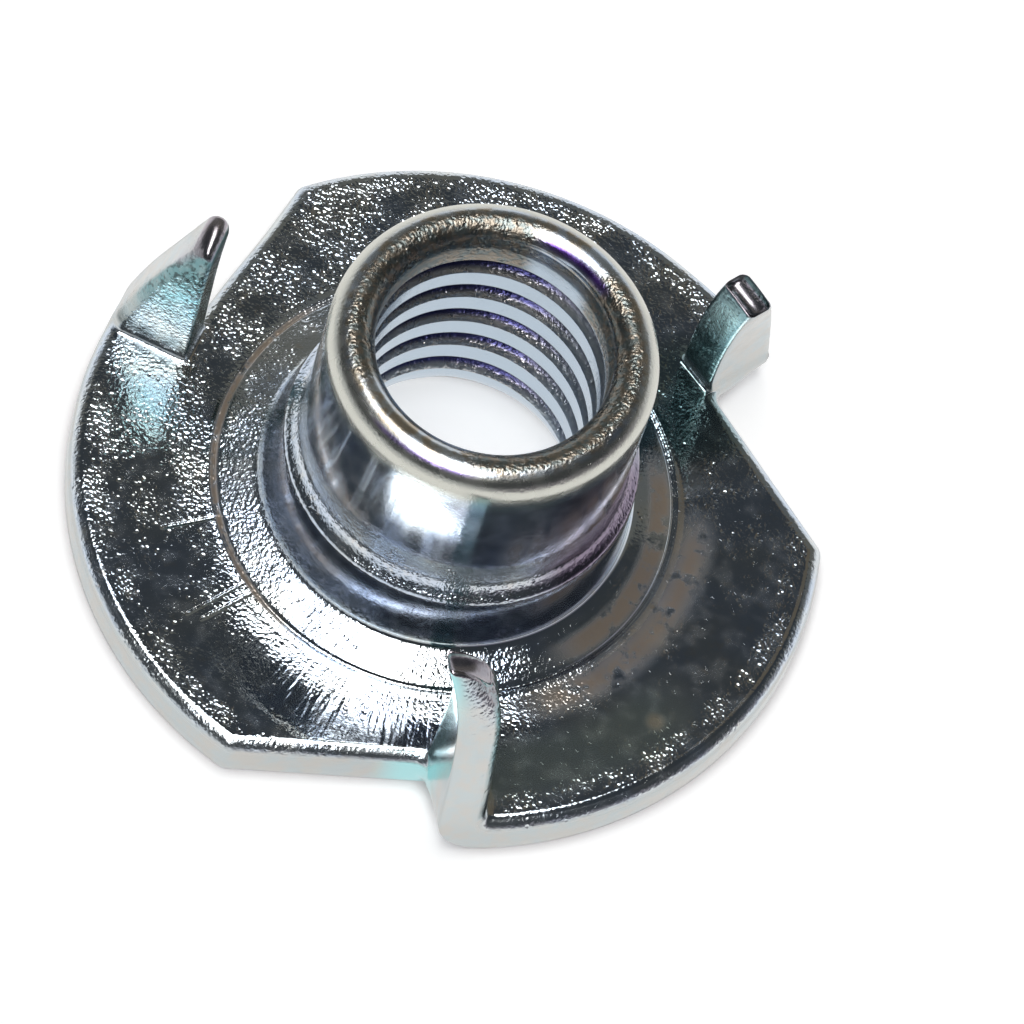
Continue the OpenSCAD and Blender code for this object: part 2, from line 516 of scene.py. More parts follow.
    def build(self, mesher: Mesher) -> tuple[list[int], list[int]]:
        """Lays the core's surface.

        Args:
            mesher: what gathers the mesh.

        Returns:
            The rings that the flange's top and underside join: the dish's edge, and the mouth's edge.
        """
        profile = self.outer_profile()
        kept = [(r, z) for r, z in profile if r >= self.wrapped_r or z >= self.height - self.fade_z]
        outer = [self.ring(mesher, r, z) for r, z in kept]
        mesher.skin(outer, closed=True)
        mouth_points = [(r, z) for r, z in self.mouth_profile() if z < self.mouth_z]
        mouth = [self.ring(mesher, r, z) for r, z in mouth_points]
        mesher.skin(mouth, closed=True)
        self.build_thread(mesher, kept[-1][1], mouth_points[0][1])
        return outer[0], mouth[-1]


@dataclass
class EdgeSection:
    """The section across a sheared edge: rolled over on the sheet's top side, crisp on its underside."""

    sheet: float = 1.3
    margin: float = 0.04
    roll_steps: int = 7
    wall_steps: int = 3
    crisp_steps: int = 3

    @property
    def count(self) -> int:
        """How many points the section has."""
        return 1 + self.roll_steps + self.wall_steps + self.crisp_steps

    def points(self, roll: float, crisp: float) -> list[tuple[float, float, float, float]]:
        """The section's points, from the top side to the underside.

        Args:
            roll: radius on the top side in mm.
            crisp: radius on the underside in mm.

        Returns:
            For each point its offset outwards, its depth below the top side, and the surface's normal as
            (outwards, upwards).
        """
        found = [(-roll - self.margin, 0.0, 0.0, 1.0)]
        for k in range(self.roll_steps + 1):
            a = math.radians(90.0 * (1 - k / self.roll_steps))
            found.append((roll * (math.cos(a) - 1), roll * (1 - math.sin(a)), math.cos(a), math.sin(a)))
        for k in range(1, self.wall_steps):
            depth = roll + (self.sheet - crisp - roll) * k / self.wall_steps
            found.append((0.0, depth, 1.0, 0.0))
        for k in range(self.crisp_steps):
            a = math.radians(90.0 * k / (self.crisp_steps - 1))
            east, north = math.cos(a), math.sin(a)
            found.append((crisp * (east - 1), self.sheet - crisp * (1 - north), east, -north))
        return found


@dataclass
class Prong:
    """One prong: the fold at its foot, its blade, and the chord that it was slit along."""

    angle: float
    sheet: float = 1.3
    flange_r: float = 11.1
    fold_lead: float = 5.9
    chord_n: float = 9.02
    fold_r: float = 0.12
    fold_out_r: float = 0.75
    fold_end_r: float = 1.4
    foot_swell: float = 0.22
    foot_z: float = 0.15
    swell_z: float = 3.6
    lean_z: float = 4.66
    lean_r: float = 6.5
    blade_r: float = 24.0
    blade_out: float = 11.04
    blade_in: float = 8.5
    blade_tip_in: float = 8.34
    prong_h: float = 7.4
    tip_r: float = 0.38
    front_fall: float = 0.33
    back_fall: float = 0.12
    fall_z: float = 0.9
    fall_n: float = 0.9
    fall_in: float = 0.3
    roll: float = 0.45
    crisp: float = 0.08
    soft: float = 0.12
    notch_r: float = 0.45
    corner_r: float = 0.5
    end_soft: float = 0.3
    tip_roll: float = 0.24
    tip_roll_in: float = 0.16
    tip_crisp: float = 0.14
    foot_ease: Flat = (-0.5, 1.2)
    rise_ease: Flat = (0.35, 1.0)
    drop_ease: Flat = (0.0, 0.6)
    notch_least: float = 0.15
    flat_angle: float = 102.0
    flat_depth: float = 0.26
    flat_r: float = 8.0
    flat_top_z: float = 2.5
    flat_full_z: float = 1.6
    flat_side: Flat = (0.55, 0.80)
    rim_span: float = 78.45
    rim_end_n: float = 9.02
    columns: int = 14
    fold_steps: int = 5
    chord_steps: int = 26
    corner_steps: int = 5
    notch_steps: int = 6
    rise_steps: int = 26
    rim_step: float = 0.2
    fill_step: float = 0.16
    tip_steps: int = 10
    section: EdgeSection = field(default_factory=EdgeSection)

    @property
    def fold_mid(self) -> float:
        """The fold's radius at the middle of the sheet."""
        return self.fold_r + self.sheet / 2

    @property
    def fold_len(self) -> float:
        """The fold's length along the middle of the sheet."""
        return self.fold_mid * math.pi / 2

    @property
    def fold_z(self) -> float:
        """The height of the fold's axis."""
        return self.sheet + self.fold_r

    def meet(self, neighbour: "Prong", turn: float) -> None:
        """Lets the rim run on to the corner of the next prong's chord.

        Args:
            neighbour: the next prong round the rim.
            turn: the angle between the two, in degrees.
        """
        half_chord = math.degrees(math.acos(neighbour.chord_n / self.flange_r))
        self.rim_span = turn - neighbour.fold_lead - half_chord
        self.rim_end_n = neighbour.chord_n

    def world(self, x: float, y: float, z: float) -> Place:
        """Turns a place in the prong's frame into the nut's frame.

        Args:
            x: distance along the fold line.
            y: distance across it.
            z: height.

        Returns:
            The place in mm.
        """
        a = math.radians(self.angle)
        east, north = x * math.cos(a) - y * math.sin(a), x * math.sin(a) + y * math.cos(a)
        r = math.hypot(east, north)
        if z > self.flat_top_z or r < self.flat_r:
            return (east, north, z)
        flat = math.radians(self.flat_angle)
        facing = (east * math.cos(flat) + north * math.sin(flat)) / r
        reach = smoothstep(self.flat_r, self.flange_r, r) * smoothstep(self.flat_top_z, self.flat_full_z, z)
        pull = self.flat_depth * reach * smoothstep(*self.flat_side, facing)
        return (east * (1 - pull / r), north * (1 - pull / r), z)

    def back(self, z: float) -> float:
        """How far the prong's back stands from the fold line.

        Args:
            z: height.

        Returns:
            The distance in mm.
        """
        if z > self.lean_z:
            turned = self.lean_r - self.sheet / 2
            return self.fold_z + turned - math.sqrt(turned**2 - (z - self.lean_z) ** 2)
        share = (z - self.foot_z) / (self.swell_z - self.foot_z)
        swell = (1.0 - smoothstep(*self.foot_ease, share)) / (1.0 - smoothstep(*self.foot_ease, 0.0))
        return self.fold_z + self.foot_swell * swell

    def front(self, z: float) -> float:
        """How far the prong's front stands from the fold line.

        Args:
            z: height.

        Returns:
            The distance in mm.
        """
        if z <= self.lean_z:
            return self.fold_r
        turned = self.lean_r + self.sheet / 2
        return self.fold_r + turned - math.sqrt(turned**2 - (z - self.lean_z) ** 2)

    def fold_round(self, n: float) -> float:
        """The fold's outer radius, which opens towards the rim.

        Args:
            n: distance from the axis.

        Returns:
            The radius in mm.
        """
        share = smoothstep(self.blade_in + self.end_soft, self.flange_r - self.end_soft, n)
        return self.fold_out_r + (self.fold_end_r - self.fold_out_r) * share

    def bend(self, n: float) -> float:
        """How far past the fold line the fold's outer round starts.

        Args:
            n: distance from the axis.

        Returns:
            The distance in mm.
        """
        return self.back(self.fold_round(n)) - self.fold_round(n)

    def bend_len(self, n: float) -> float:
        """The length of the fold's outside, from the fold line up to the height of the fold's axis.

        Args:
            n: distance from the axis.

        Returns:
            The length in mm.
        """
        return self.bend(n) + self.fold_round(n) * (math.pi / 2 - 1.0) + self.fold_z

    def outside(self, n: float, v: float) -> Flat:
        """A point on the fold's outside.

        Args:
            n: distance from the axis.
            v: distance along the outside from the fold line.

        Returns:
            Its y and height.
        """
        start, r = self.bend(n), self.fold_round(n)
        if v <= start:
            return (-v, 0.0)
        turn = (v - start) / r
        if turn <= math.pi / 2:
            return (-start - r * math.sin(turn), r * (1.0 - math.cos(turn)))
        z = v - start - r * (math.pi / 2 - 1.0)
        return (-self.back(z), z)

    def outside_len(self, n: float, y: float, z: float) -> float:
        """Where a point lies along the fold's outside.

        Args:
            n: distance from the axis.
            y: distance across the fold line.
            z: height.

        Returns:
            The distance along the outside from the fold line.
        """
        start, r = self.bend(n), self.fold_round(n)
        if z >= r:
            return start + r * (math.pi / 2 - 1.0) + z
        return min(-y, start) + r * math.atan2(max(0.0, -y - start), r - z)

    def fold_back(self, n: float, z: float) -> float:
        """The y of the fold's outside.

        Args:
            n: distance from the axis.
            z: height.

        Returns:
            Its y in mm.
        """
        r = self.fold_round(n)
        if z >= r:
            return -self.back(z)
        return -self.bend(n) - math.sqrt(max(0.0, r**2 - (r - z) ** 2))

    def place(self, n: float, s: float, depth: float) -> Place:
        """Where a point of the flat sheet comes to lie once the prong is folded up and leans.

        Args:
            n: distance from the axis, along the fold line.
            s: distance past the fold line, along the middle of the sheet.
            depth: distance below the sheet's top side.

        Returns:
            The place in mm, in the nut's frame.
        """
        if s <= 0:
            return self.world(n, -s, self.sheet - depth)
        share = depth / self.sheet
        if s <= self.fold_len:
            turn = s / self.fold_mid
            y0, z0 = -self.fold_r * math.sin(turn), self.fold_z - self.fold_r * math.cos(turn)
            y1, z1 = self.outside(n, self.bend_len(n) * s / self.fold_len)
            return self.world(n, y0 + (y1 - y0) * share, z0 + (z1 - z0) * share)
        z = self.fold_z + s - self.fold_len
        y = -self.front(z) - (self.back(z) - self.front(z)) * share
        near = max(0.0, z - self.prong_h + self.fall_z) / self.fall_z
        across = min(max((n - self.inner_n(s)) / self.fall_n, self.fall_in), 1.0)
        fall = self.front_fall * (1.0 - share) ** 2 * across + self.back_fall * share**2
        return self.world(n, y, z - fall * near**2)

    def tip_centre(self) -> Flat:
        """The middle of the tip's round, seen from the rim.

        Returns:
            Its distance from the axis and its height.
        """
        run, rise = self.blade_tip_in - self.blade_in, self.prong_h - self.fold_z
        size = math.hypot(run, rise)
        tip_z = self.prong_h - self.tip_r - self.tip_r * run / size
        return (self.blade_tip_in + self.tip_r * rise / size, tip_z)

    def outer_arc(self) -> Flat:
        """The middle of the outer edge's arc, which touches the tip's round.

        Returns:
            Its distance from the axis and its height.
        """
        tip_n, tip_z = self.tip_centre()
        run, rise = tip_n - self.blade_out, tip_z - self.fold_z
        far = math.hypot(run, rise)
        along = (self.blade_r**2 - (self.blade_r - self.tip_r) ** 2 + far**2) / (2 * far)
        off = math.sqrt(self.blade_r**2 - along**2)
        run, rise = run / far, rise / far
        return (self.blade_out + run * along - rise * off, self.fold_z + rise * along + run * off)

    def outer_n(self, s: float) -> float:
        """The outer edge's distance from the axis.

        Args:
            s: distance past the fold line.

        Returns:
            The distance in mm.
        """
        cn, cz = self.outer_arc()
        if s >= self.fold_len:
            z = self.fold_z + s - self.fold_len
            return cn + math.sqrt(self.blade_r**2 - (z - cz) ** 2)
        share = s / self.fold_len
        slope = -(self.fold_z - cz) / (self.blade_out - cn) * self.fold_len
        h00 = 2 * share**3 - 3 * share**2 + 1
        h01 = 1 - h00
        h11 = share**3 - share**2
        return self.flange_r * h00 + self.blade_out * h01 + slope * h11

    def inner_n(self, s: float) -> float:
        """The inner edge's distance from the axis.

        Args:
            s: distance past the fold line.

        Returns:
            The distance in mm.
        """
        share = (s - self.fold_len) / (self.prong_h - self.fold_z)
        return self.blade_in + (self.blade_tip_in - self.blade_in) * share

    def path(self) -> list[Station]:
        """The blade's edge from the fold line's outer end, over the tip, to the foot of the inner edge.

        Returns:
            For each point n, s, the outward normal (n, s) and the radii on the top side and underside.
        """
        def slope(edge: Callable[[float], float], s: float) -> float:
            """How fast an edge moves out along the sheet."""
            return (edge(s + 0.01) - edge(s - 0.01)) / 0.02

        found = []
        for k in range(self.fold_steps + 1):
            s = self.fold_len * k / self.fold_steps
            d = slope(self.outer_n, s) if k else 0.0
            size = math.hypot(1.0, d)
            found.append((self.outer_n(s), s, 1 / size, -d / size, self.roll, self.crisp))
        tip_n, tip_z = self.tip_centre()
        cn, cz = self.outer_arc()
        tip_s = self.fold_len + tip_z - self.fold_z
        out_angle = math.atan2(tip_z - cz, tip_n - cn)
        side = slope(self.inner_n, tip_s)
        in_angle = math.atan2(side, -1.0)
        lean = math.sin(out_angle) * self.tip_r
        for k in range(1, self.rise_steps + 1):
            s = self.fold_len + (tip_s + lean - self.fold_len) * k / self.rise_steps
            d = slope(self.outer_n, s)
            size = math.hypot(1.0, d)
            ease = smoothstep(*self.rise_ease, k / self.rise_steps)
            roll = self.roll + (self.tip_roll - self.roll) * ease
            crisp = self.crisp + (self.tip_crisp - self.crisp) * ease
            found.append((self.outer_n(s), s, 1 / size, -d / size, roll, crisp))
        for k in range(1, self.tip_steps):
            a = out_angle + (in_angle - out_angle) * k / self.tip_steps
            share = k / self.tip_steps
            roll = self.tip_roll + (self.tip_roll_in - self.tip_roll) * share
            out, up = math.cos(a), math.sin(a)
            found.append((tip_n + self.tip_r * out, tip_s + self.tip_r * up, out, up, roll, self.tip_crisp))
        for k in range(self.rise_steps + 1):
            s = tip_s + (self.fold_len - tip_s) * k / self.rise_steps
            size = math.hypot(1.0, side)
            ease = smoothstep(*self.drop_ease, k / self.rise_steps)
            roll = self.tip_roll_in + (self.soft - self.tip_roll_in) * ease
            crisp = self.tip_crisp + (self.soft - self.tip_crisp) * ease
            found.append((self.inner_n(s), s, -1 / size, side / size, roll, crisp))
        return found

    def column(self, mesher: Mesher, station: Station) -> list[int]:
        """Adds the section across the edge at one station.

        Args:
            mesher: what gathers the mesh.
            station: n, s, the outward normal and the two radii.

        Returns:
            The points' numbers, from the top side to the underside.
        """
        n, s, nn, ns, roll, crisp = station
        row = [self.place(n + o * nn, s + o * ns, d) for o, d, _, _ in self.section.points(roll, crisp)]
        return mesher.add_row(row)

    def build(self, mesher: Mesher) -> dict[Side, list[int]]:
        """Lays the prong, its length of rim and its chord.

        Args:
            mesher: what gathers the mesh.

        Returns:
            The runs of points along the flat's border on each side of the sheet, clockwise from the rim's
            far end to the chord's far end.
        """
        count = self.section.count
        rim = []
        corner = math.radians(self.rim_span)
        back = self.corner_r * math.tan(math.acos(self.rim_end_n / self.flange_r) / 2)
        first = corner - back / self.flange_r
        steps = int(self.flange_r * first / self.rim_step)
        for k in range(steps):
            a = first * (1 - k / steps)
            out, down = math.cos(a), -math.sin(a)
            rim.append((self.flange_r * out, self.flange_r * down, out, down, self.roll, self.crisp))
        stations = rim + self.path()
        columns = [self.column(mesher, st) for st in stations]
        mesher.skin(columns)
        fold_at = len(rim)
        outer = columns[fold_at : fold_at + self.fold_steps + 1]
        rise = columns[fold_at + self.fold_steps :]
        foot = self.build_foot(mesher, stations[-1])
        mesher.skin([columns[-1]] + foot)
        inner_top = [columns[-1][0]] + [row[0] for row in foot]
        rows = []
        for k in range(self.fold_steps + 1):
            right = outer[self.fold_steps - k][0]
            left = inner_top[k]
            rows.append(self.between(mesher, left, right))
        mesher.skin(rows)
        fold_top = rows[-1]
        self.face(mesher, rise, 0, rows[0])
        base = self.between(mesher, columns[-1][count - 1], outer[-1][count - 1])
        self.face(mesher, rise, count - 1, base)
        chord = self.build_chord(mesher, foot[-1][count - 1])
        notch = [row[-1] for row in chord]
        fold_low = self.between(mesher, notch[-1], outer[0][count - 1])
        loop = base + [c[count - 1] for c in reversed(outer[:-1])] + list(reversed(fold_low[:-1]))
        loop += list(reversed(notch[:-1])) + [row[count - 1] for row in reversed(foot[:-1])]
        self.fill_fold(mesher, loop)
        top = [c[0] for c in columns[:fold_at]] + list(reversed(fold_top))
        top += foot[-1][1:] + list(reversed(chord[0][:-1]))
        under = [c[count - 1] for c in columns[:fold_at]] + list(reversed(fold_low))
        under += list(reversed(chord[-1][:-1]))
        return {Side.TOP: top, Side.UNDER: under}

    def between(self, mesher: Mesher, left: int, right: int) -> list[int]:
        """Adds a straight row between two points.

        Args:
            mesher: what gathers the mesh.
            left: the first point.
            right: the last point.

        Returns:
            The row's numbers, both ends included.
        """
        a, b = np.array(mesher.points[left]), np.array(mesher.points[right])
        row = [left]
        for k in range(1, self.columns):
            row.append(mesher.add(tuple(a + (b - a) * k / self.columns)))
        return row + [right]

    def face(self, mesher: Mesher, rise: list[list[int]], at: int, base: list[int]) -> None:
        """Lays one broad face of the blade.

        Args:
            mesher: what gathers the mesh.
            rise: the edge's sections from the outer foot, over the tip, to the inner foot.
            at: which point of each section borders the face.
            base: the row at the foot, from the inner edge to the outer edge.
        """
        border = [column[at] for column in rise]
        half = len(border) // 2
        rows = [base]
        for k in range(1, half):
            rows.append(self.between(mesher, border[-1 - k], border[k]))
        mesher.skin(rows)
        last = rows[-1]
        if len(border) % 2:
            apex = border[half]
            for a, b in zip(last, last[1:]):
                mesher.faces.append((a, b, apex))

    def build_foot(self, mesher: Mesher, station: Station) -> list[list[int]]:
        """Lays the small fillet where the inner edge runs down onto the flange.

        Args:
            mesher: what gathers the mesh.
            station: the inner edge's last station.

        Returns:
            The rows of the fillet, the last one on the flange.
        """
        n, _, _, _, roll, crisp = station
        section = self.section.points(roll, crisp)
        rows = []
        for k in range(self.fold_steps - 1, -1, -1):
            turn = math.pi / 2 * k / self.fold_steps
            z = self.fold_z - self.fold_r * math.cos(turn)
            flare = self.fold_r * (1 - math.sin(turn))
            row = []
            for o, d, out, up in section:
                weight = 1.0 if up > -0.5 else 0.0
                x = n - o - flare * out * weight
                y = -self.fold_r - d * (self.back(z) - self.fold_r) / self.sheet + flare * max(up, 0.0)
                row.append(self.world(x, y, z))
            row[-1] = self.world(n - section[-1][0], -self.back(z), z)
            rows.append(mesher.add_row(row))
        return rows

    def build_chord(self, mesher: Mesher, meet: int) -> list[list[int]]:
        """Lays the sheared wall along the chord and round the notch, up to the fold.

        Args:
            mesher: what gathers the mesh.
            meet: the point that the top row ends at.

        Returns:
            The rows, from the top side to the underside, each from the chord's far end to the fold.
        """
        lead = math.radians(self.fold_lead)
        normal = np.array([math.cos(lead), -math.sin(lead)])
        along = np.array([math.sin(lead), math.cos(lead)])
        start = -math.sqrt(self.flange_r**2 - self.chord_n**2)
        turn = math.acos(self.chord_n / self.flange_r)
        back = self.corner_r * math.tan(turn / 2)
        corner = self.chord_n * normal + start * along
        rim_dir = normal * math.cos(turn) - along * math.sin(turn)
        tangent = normal * math.sin(turn) + along * math.cos(turn)
        n0 = rim_dir * math.cos(back / self.flange_r) - tangent * math.sin(back / self.flange_r)
        p0 = self.flange_r * n0
        p2 = corner + along * back
        rows = []
        section = self.section.points(self.roll, self.crisp)
        for k, (o, d, _, _) in enumerate(section):
            z = self.sheet - d
            row = []
            for j in range(self.corner_steps):
                t = j / self.corner_steps
                p = (1 - t) ** 2 * p0 + 2 * t * (1 - t) * corner + t**2 * p2
                nn = (1 - t) * n0 + t * normal
                nn = nn / np.linalg.norm(nn)
                p = p + nn * o
                row.append(self.world(float(p[0]), float(p[1]), z))
            y_fold = self.fold_back(self.chord_n, z)
            opened = smoothstep(0, self.section.roll_steps - 1, k)
            fillet = self.notch_least + (self.notch_r - self.notch_least) * opened
            reach = self.chord_n + o
            cy = y_fold - fillet
            cx = (reach + fillet - normal[1] * cy) / normal[0]
            centre = np.array([cx, cy])
            s0 = start + back
            s1 = float((centre - normal * fillet) @ along)
            for j in range(self.chord_steps):
                share = j / self.chord_steps
                q = normal * reach + along * (s0 + (s1 - s0) * share)
                row.append(self.world(float(q[0]), float(q[1]), z))
            a0 = math.atan2(-normal[1], -normal[0])
            a0 = a0 if a0 > 0 else a0 + 2 * math.pi
            for j in range(self.notch_steps + 1):
                a = a0 + (math.pi / 2 - a0) * j / self.notch_steps
                row.append(self.world(cx + fillet * math.cos(a), cy + fillet * math.sin(a), z))
            numbers = mesher.add_row(row)
            if k == 0:
                numbers[-1] = meet
            rows.append(numbers)
        mesher.skin(rows)
        return rows

    def fill_fold(self, mesher: Mesher, loop: list[int]) -> None:
        """Fills the outside of the fold.

        Args:
            mesher: what gathers the mesh.
            loop: its border.
        """
        a = math.radians(self.angle)
        flat = {}
        for number in loop:
            x, y, z = mesher.points[number]
            lx = x * math.cos(a) + y * math.sin(a)
            ly = -x * math.sin(a) + y * math.cos(a)
            flat[number] = (lx, self.outside_len(lx, ly, z))
        polygon = np.array([flat[number] for number in loop])
        seeds = []
        step = self.fill_step
        across = int((self.flange_r - self.blade_in) / step) + 1
        along = int(self.fold_len * 3 / (step * ROW)) + 1
        for i in range(1, across):
            for j in range(1, along):
                seed = (self.blade_in + i * step + (j % 2) * step / 2, j * step * ROW)
                if inside(polygon, Vector(seed)) and clear_of(polygon, seed, step * 0.55):
                    seeds.append(seed)

        def place(u: float, v: float) -> Place:
            """Lays a flat place on the fold's outside."""
            y, z = self.outside(u, v)
            return self.world(u, y, z)

        mesher.fill([loop], flat, seeds, place)


@dataclass
class TeeNut:
    """The whole nut as one piece."""

    first_angle: float = -68.0
    turn: float = 120.0
    top_step: float = 0.26
    under_step: float = 0.9
    core: Core = field(default_factory=Core)

    def prongs(self) -> list[Prong]:
        """Sets out the three prongs, clockwise; no two of them were bent quite alike.

        Returns:
            The prongs.
        """
        near = Prong(
            angle=self.first_angle,
            fold_end_r=1.5,
            lean_r=7.0,
            blade_tip_in=8.3,
            front_fall=1.45,
            back_fall=0.02,
            fall_z=3.0,
            fall_in=0.85,
        )
        left = Prong(
            angle=self.first_angle - self.turn,
            chord_n=8.96,
            blade_in=8.56,
            blade_tip_in=8.6,
            prong_h=6.9,
            front_fall=0.8,
            back_fall=0.1,
            fall_z=1.9,
        )
        right = Prong(
            angle=self.first_angle - 2 * self.turn,
            fold_lead=3.6,
            chord_n=8.76,
            foot_swell=0.1,
            lean_z=1.6,
            lean_r=22.0,
            blade_out=10.75,
            blade_tip_in=8.42,
            prong_h=7.1,
            front_fall=0.2,
            back_fall=0.3,
        )
        near.meet(right, self.turn)
        left.meet(near, self.turn)
        right.meet(left, self.turn)
        return [near, left, right]

    def build(self) -> bpy.types.Object:
        """Builds the nut's mesh.

        Returns:
            The piece.
        """
        mesher = Mesher()
        dish, mouth = self.core.build(mesher)
        LOG.info("core: %d points", len(mesher.points))
        border: dict[Side, list[int]] = {Side.TOP: [], Side.UNDER: []}
        for prong in self.prongs():
            for side, run in prong.build(mesher).items():
                border[side] += run
            LOG.info("prong at %.0f degrees: %d points so far", prong.angle, len(mesher.points))
        self.fill_flat(mesher, border[Side.TOP], dish, self.top_step, self.core.sheet)
        self.fill_flat(mesher, border[Side.UNDER], mouth, self.under_step, 0.0)
        return mesher.build(PIECE)

    def fill_flat(self, mesher: Mesher, border: list[int], ring: list[int], step: float, z: float) -> None:
        """Fills the flat of the flange between its border and a ring.

        Args:
            mesher: what gathers the mesh.
            border: the outer border.
            ring: the inner ring.
            step: the distance between points.
            z: the flat's height in mm.
        """
        flat = {number: mesher.points[number][:2] for number in border + ring}
        outer = np.array([flat[number] for number in border])
        hole = np.array([flat[number] for number in ring])
        seeds = []
        reach = int(np.abs(outer).max() / (step * ROW)) + 2
        for i in range(-reach, reach):
            for j in range(-reach, reach):
                seed = (i * step + (j % 2) * step / 2, j * step * ROW)
                if not inside(outer, Vector(seed)) or inside(hole, Vector(seed)):
                    continue
                if clear_of(outer, seed, step / 2) and clear_of(hole, seed, step / 2):
                    seeds.append(seed)
        mesher.fill([border, ring], flat, seeds, lambda u, v: (u, v, z))


@dataclass(frozen=True)
class Span:
    """An ease: the values that it runs between, and what it gives at each."""

    low: float
    high: float
    start: float = 0.0
    end: float = 1.0


@dataclass(frozen=True)
class Band:
    """A stretch between two limits, and how soft its ends are."""

    low: float
    high: float
    soft: float


@dataclass(frozen=True)
class Toward:
    """A direction about the bore in degrees, and the cosines at which a mask starts and is full."""

    degrees: float
    start: float
    full: float


@dataclass(frozen=True)
class Grain:
    """A noise: its scale in cells a millimetre, its octaves, and how strong the finer ones are."""

    scale: float
    octaves: float = 2.0
    rough: float = 0.5


def rgba(colour: Colour) -> tuple[float, float, float, float]:
    """A colour with full cover.

    Args:
        colour: its red, green and blue shares.

    Returns:
        The same with an alpha of 1.
    """
    return (*colour, 1.0)


class Graph:
    """Short ways to lay shader nodes in one tree."""

    def __init__(self, tree: bpy.types.NodeTree) -> None:
        self.tree = tree

    def node(self, kind: str, **settings: object) -> bpy.types.Node:
        """Adds a node.

        Args:
            kind: the node's type name.
            settings: its attributes.

        Returns:
            The node.
        """
        made = self.tree.nodes.new(kind)
        for name, value in settings.items():
            setattr(made, name, value)
        return made

    def put(self, value: object, socket: bpy.types.NodeSocket) -> None:
        """Feeds a socket from another socket or a plain value.

        Args:
            value: a socket, a number or a tuple.
            socket: the socket to feed.
        """
        if isinstance(value, bpy.types.NodeSocket):
            self.tree.links.new(value, socket)
        else:
            socket.default_value = value

    def math(self, operation: Op, a: object, b: object = 0.0, clamp: bool = False) -> Socket:
        """Adds a math node.

        Args:
            operation: what it does.
            a: the first value.
            b: the second value.
            clamp: whether the result stays between 0 and 1.

        Returns:
            The result.
        """
        made = self.node("ShaderNodeMath", operation=operation.value, use_clamp=clamp)
        self.put(a, made.inputs[0])
        self.put(b, made.inputs[1])
        return made.outputs[0]

    def ease(self, value: object, span: Span) -> Socket:
        """Eases a value over a span.

        Args:
            value: the value.
            span: where the ease starts and ends, and what it gives there.

        Returns:
            The eased value.
        """
        made = self.node("ShaderNodeMapRange", interpolation_type="SMOOTHSTEP")
        names = ("Value", "From Min", "From Max", "To Min", "To Max")
        for name, item in zip(names, (value, span.low, span.high, span.start, span.end)):
            self.put(item, made.inputs[name])
        return made.outputs[0]

    def band(self, value: object, band: Band) -> Socket:
        """1 between two limits, and 0 outside them.

        Args:
            value: the value.
            band: the limits.

        Returns:
            The mask.
        """
        rise = self.ease(value, Span(band.low - band.soft, band.low + band.soft))
        drop = self.ease(value, Span(band.high - band.soft, band.high + band.soft, 1.0, 0.0))
        return self.math(Op.MULTIPLY, rise, drop)

    def every(self, *masks: object) -> Socket:
        """Multiplies masks together.

        Args:
            masks: the masks.

        Returns:
            Their product.
        """
        result = masks[0]
        for mask in masks[1:]:
            result = self.math(Op.MULTIPLY, result, mask)
        return result

    def mix(self, share: object, a: object, b: object) -> Socket:
        """Mixes two colours.

        Args:
            share: 0 for the first and 1 for the second.
            a: the first colour.
            b: the second colour.

        Returns:
            The mixed colour.
        """
        made = self.node("ShaderNodeMix", data_type="RGBA")
        self.put(share, made.inputs[0])
        self.put(a, made.inputs[6])
        self.put(b, made.inputs[7])
        return made.outputs[2]

    def noise(self, vector: object, grain: Grain) -> Socket:
        """Adds a noise texture.

        Args:
            vector: where it is read.
            grain: its scale and octaves.

        Returns:
            The noise, from 0 to 1.
        """
        made = self.node("ShaderNodeTexNoise")
        self.put(vector, made.inputs["Vector"])
        made.inputs["Scale"].default_value = grain.scale
        made.inputs["Detail"].default_value = grain.octaves
        made.inputs["Roughness"].default_value = grain.rough
        return made.outputs["Fac"]

    def cells(self, vector: object, scale: float) -> tuple[Socket, Socket]:
        """Adds a cell texture.

        Args:
            vector: where it is read.
            scale: its scale.

        Returns:
            The distance from the nearest cell's middle, and a random number for each cell.
        """
        made = self.node("ShaderNodeTexVoronoi")
        self.put(vector, made.inputs["Vector"])
        made.inputs["Scale"].default_value = scale
        split = self.node("ShaderNodeSeparateColor")
        self.put(made.outputs["Color"], split.inputs[0])
        return made.outputs["Distance"], split.outputs[0]

    def split(self, vector: object) -> tuple[Socket, ...]:
        """Splits a vector.

        Args:
            vector: the vector.

        Returns:
            Its three parts.
        """
        made = self.node("ShaderNodeSeparateXYZ")
        self.put(vector, made.inputs[0])
        return tuple(made.outputs)

    def sum(self, *values: object) -> Socket:
        """Adds values together.

        Args:
            values: the values.

        Returns:
            Their sum.
        """
        result = values[0]
        for value in values[1:]:
            result = self.math(Op.ADD, result, value)
        return result

    def bump(self, height: object, distance: object, normal: Socket | None = None) -> Socket:
        """Adds a bump node.

        Args:
            height: the height.
            distance: what a height of 1 stands for, in metres.
            normal: the normal to start from, if any.

        Returns:
            The bumped normal.
        """
        made = self.node("ShaderNodeBump")
        made.inputs["Strength"].default_value = 1.0
        self.put(distance, made.inputs["Distance"])
        self.put(height, made.inputs["Height"])
        if normal is not None:
            self.put(normal, made.inputs["Normal"])
        return made.outputs["Normal"]


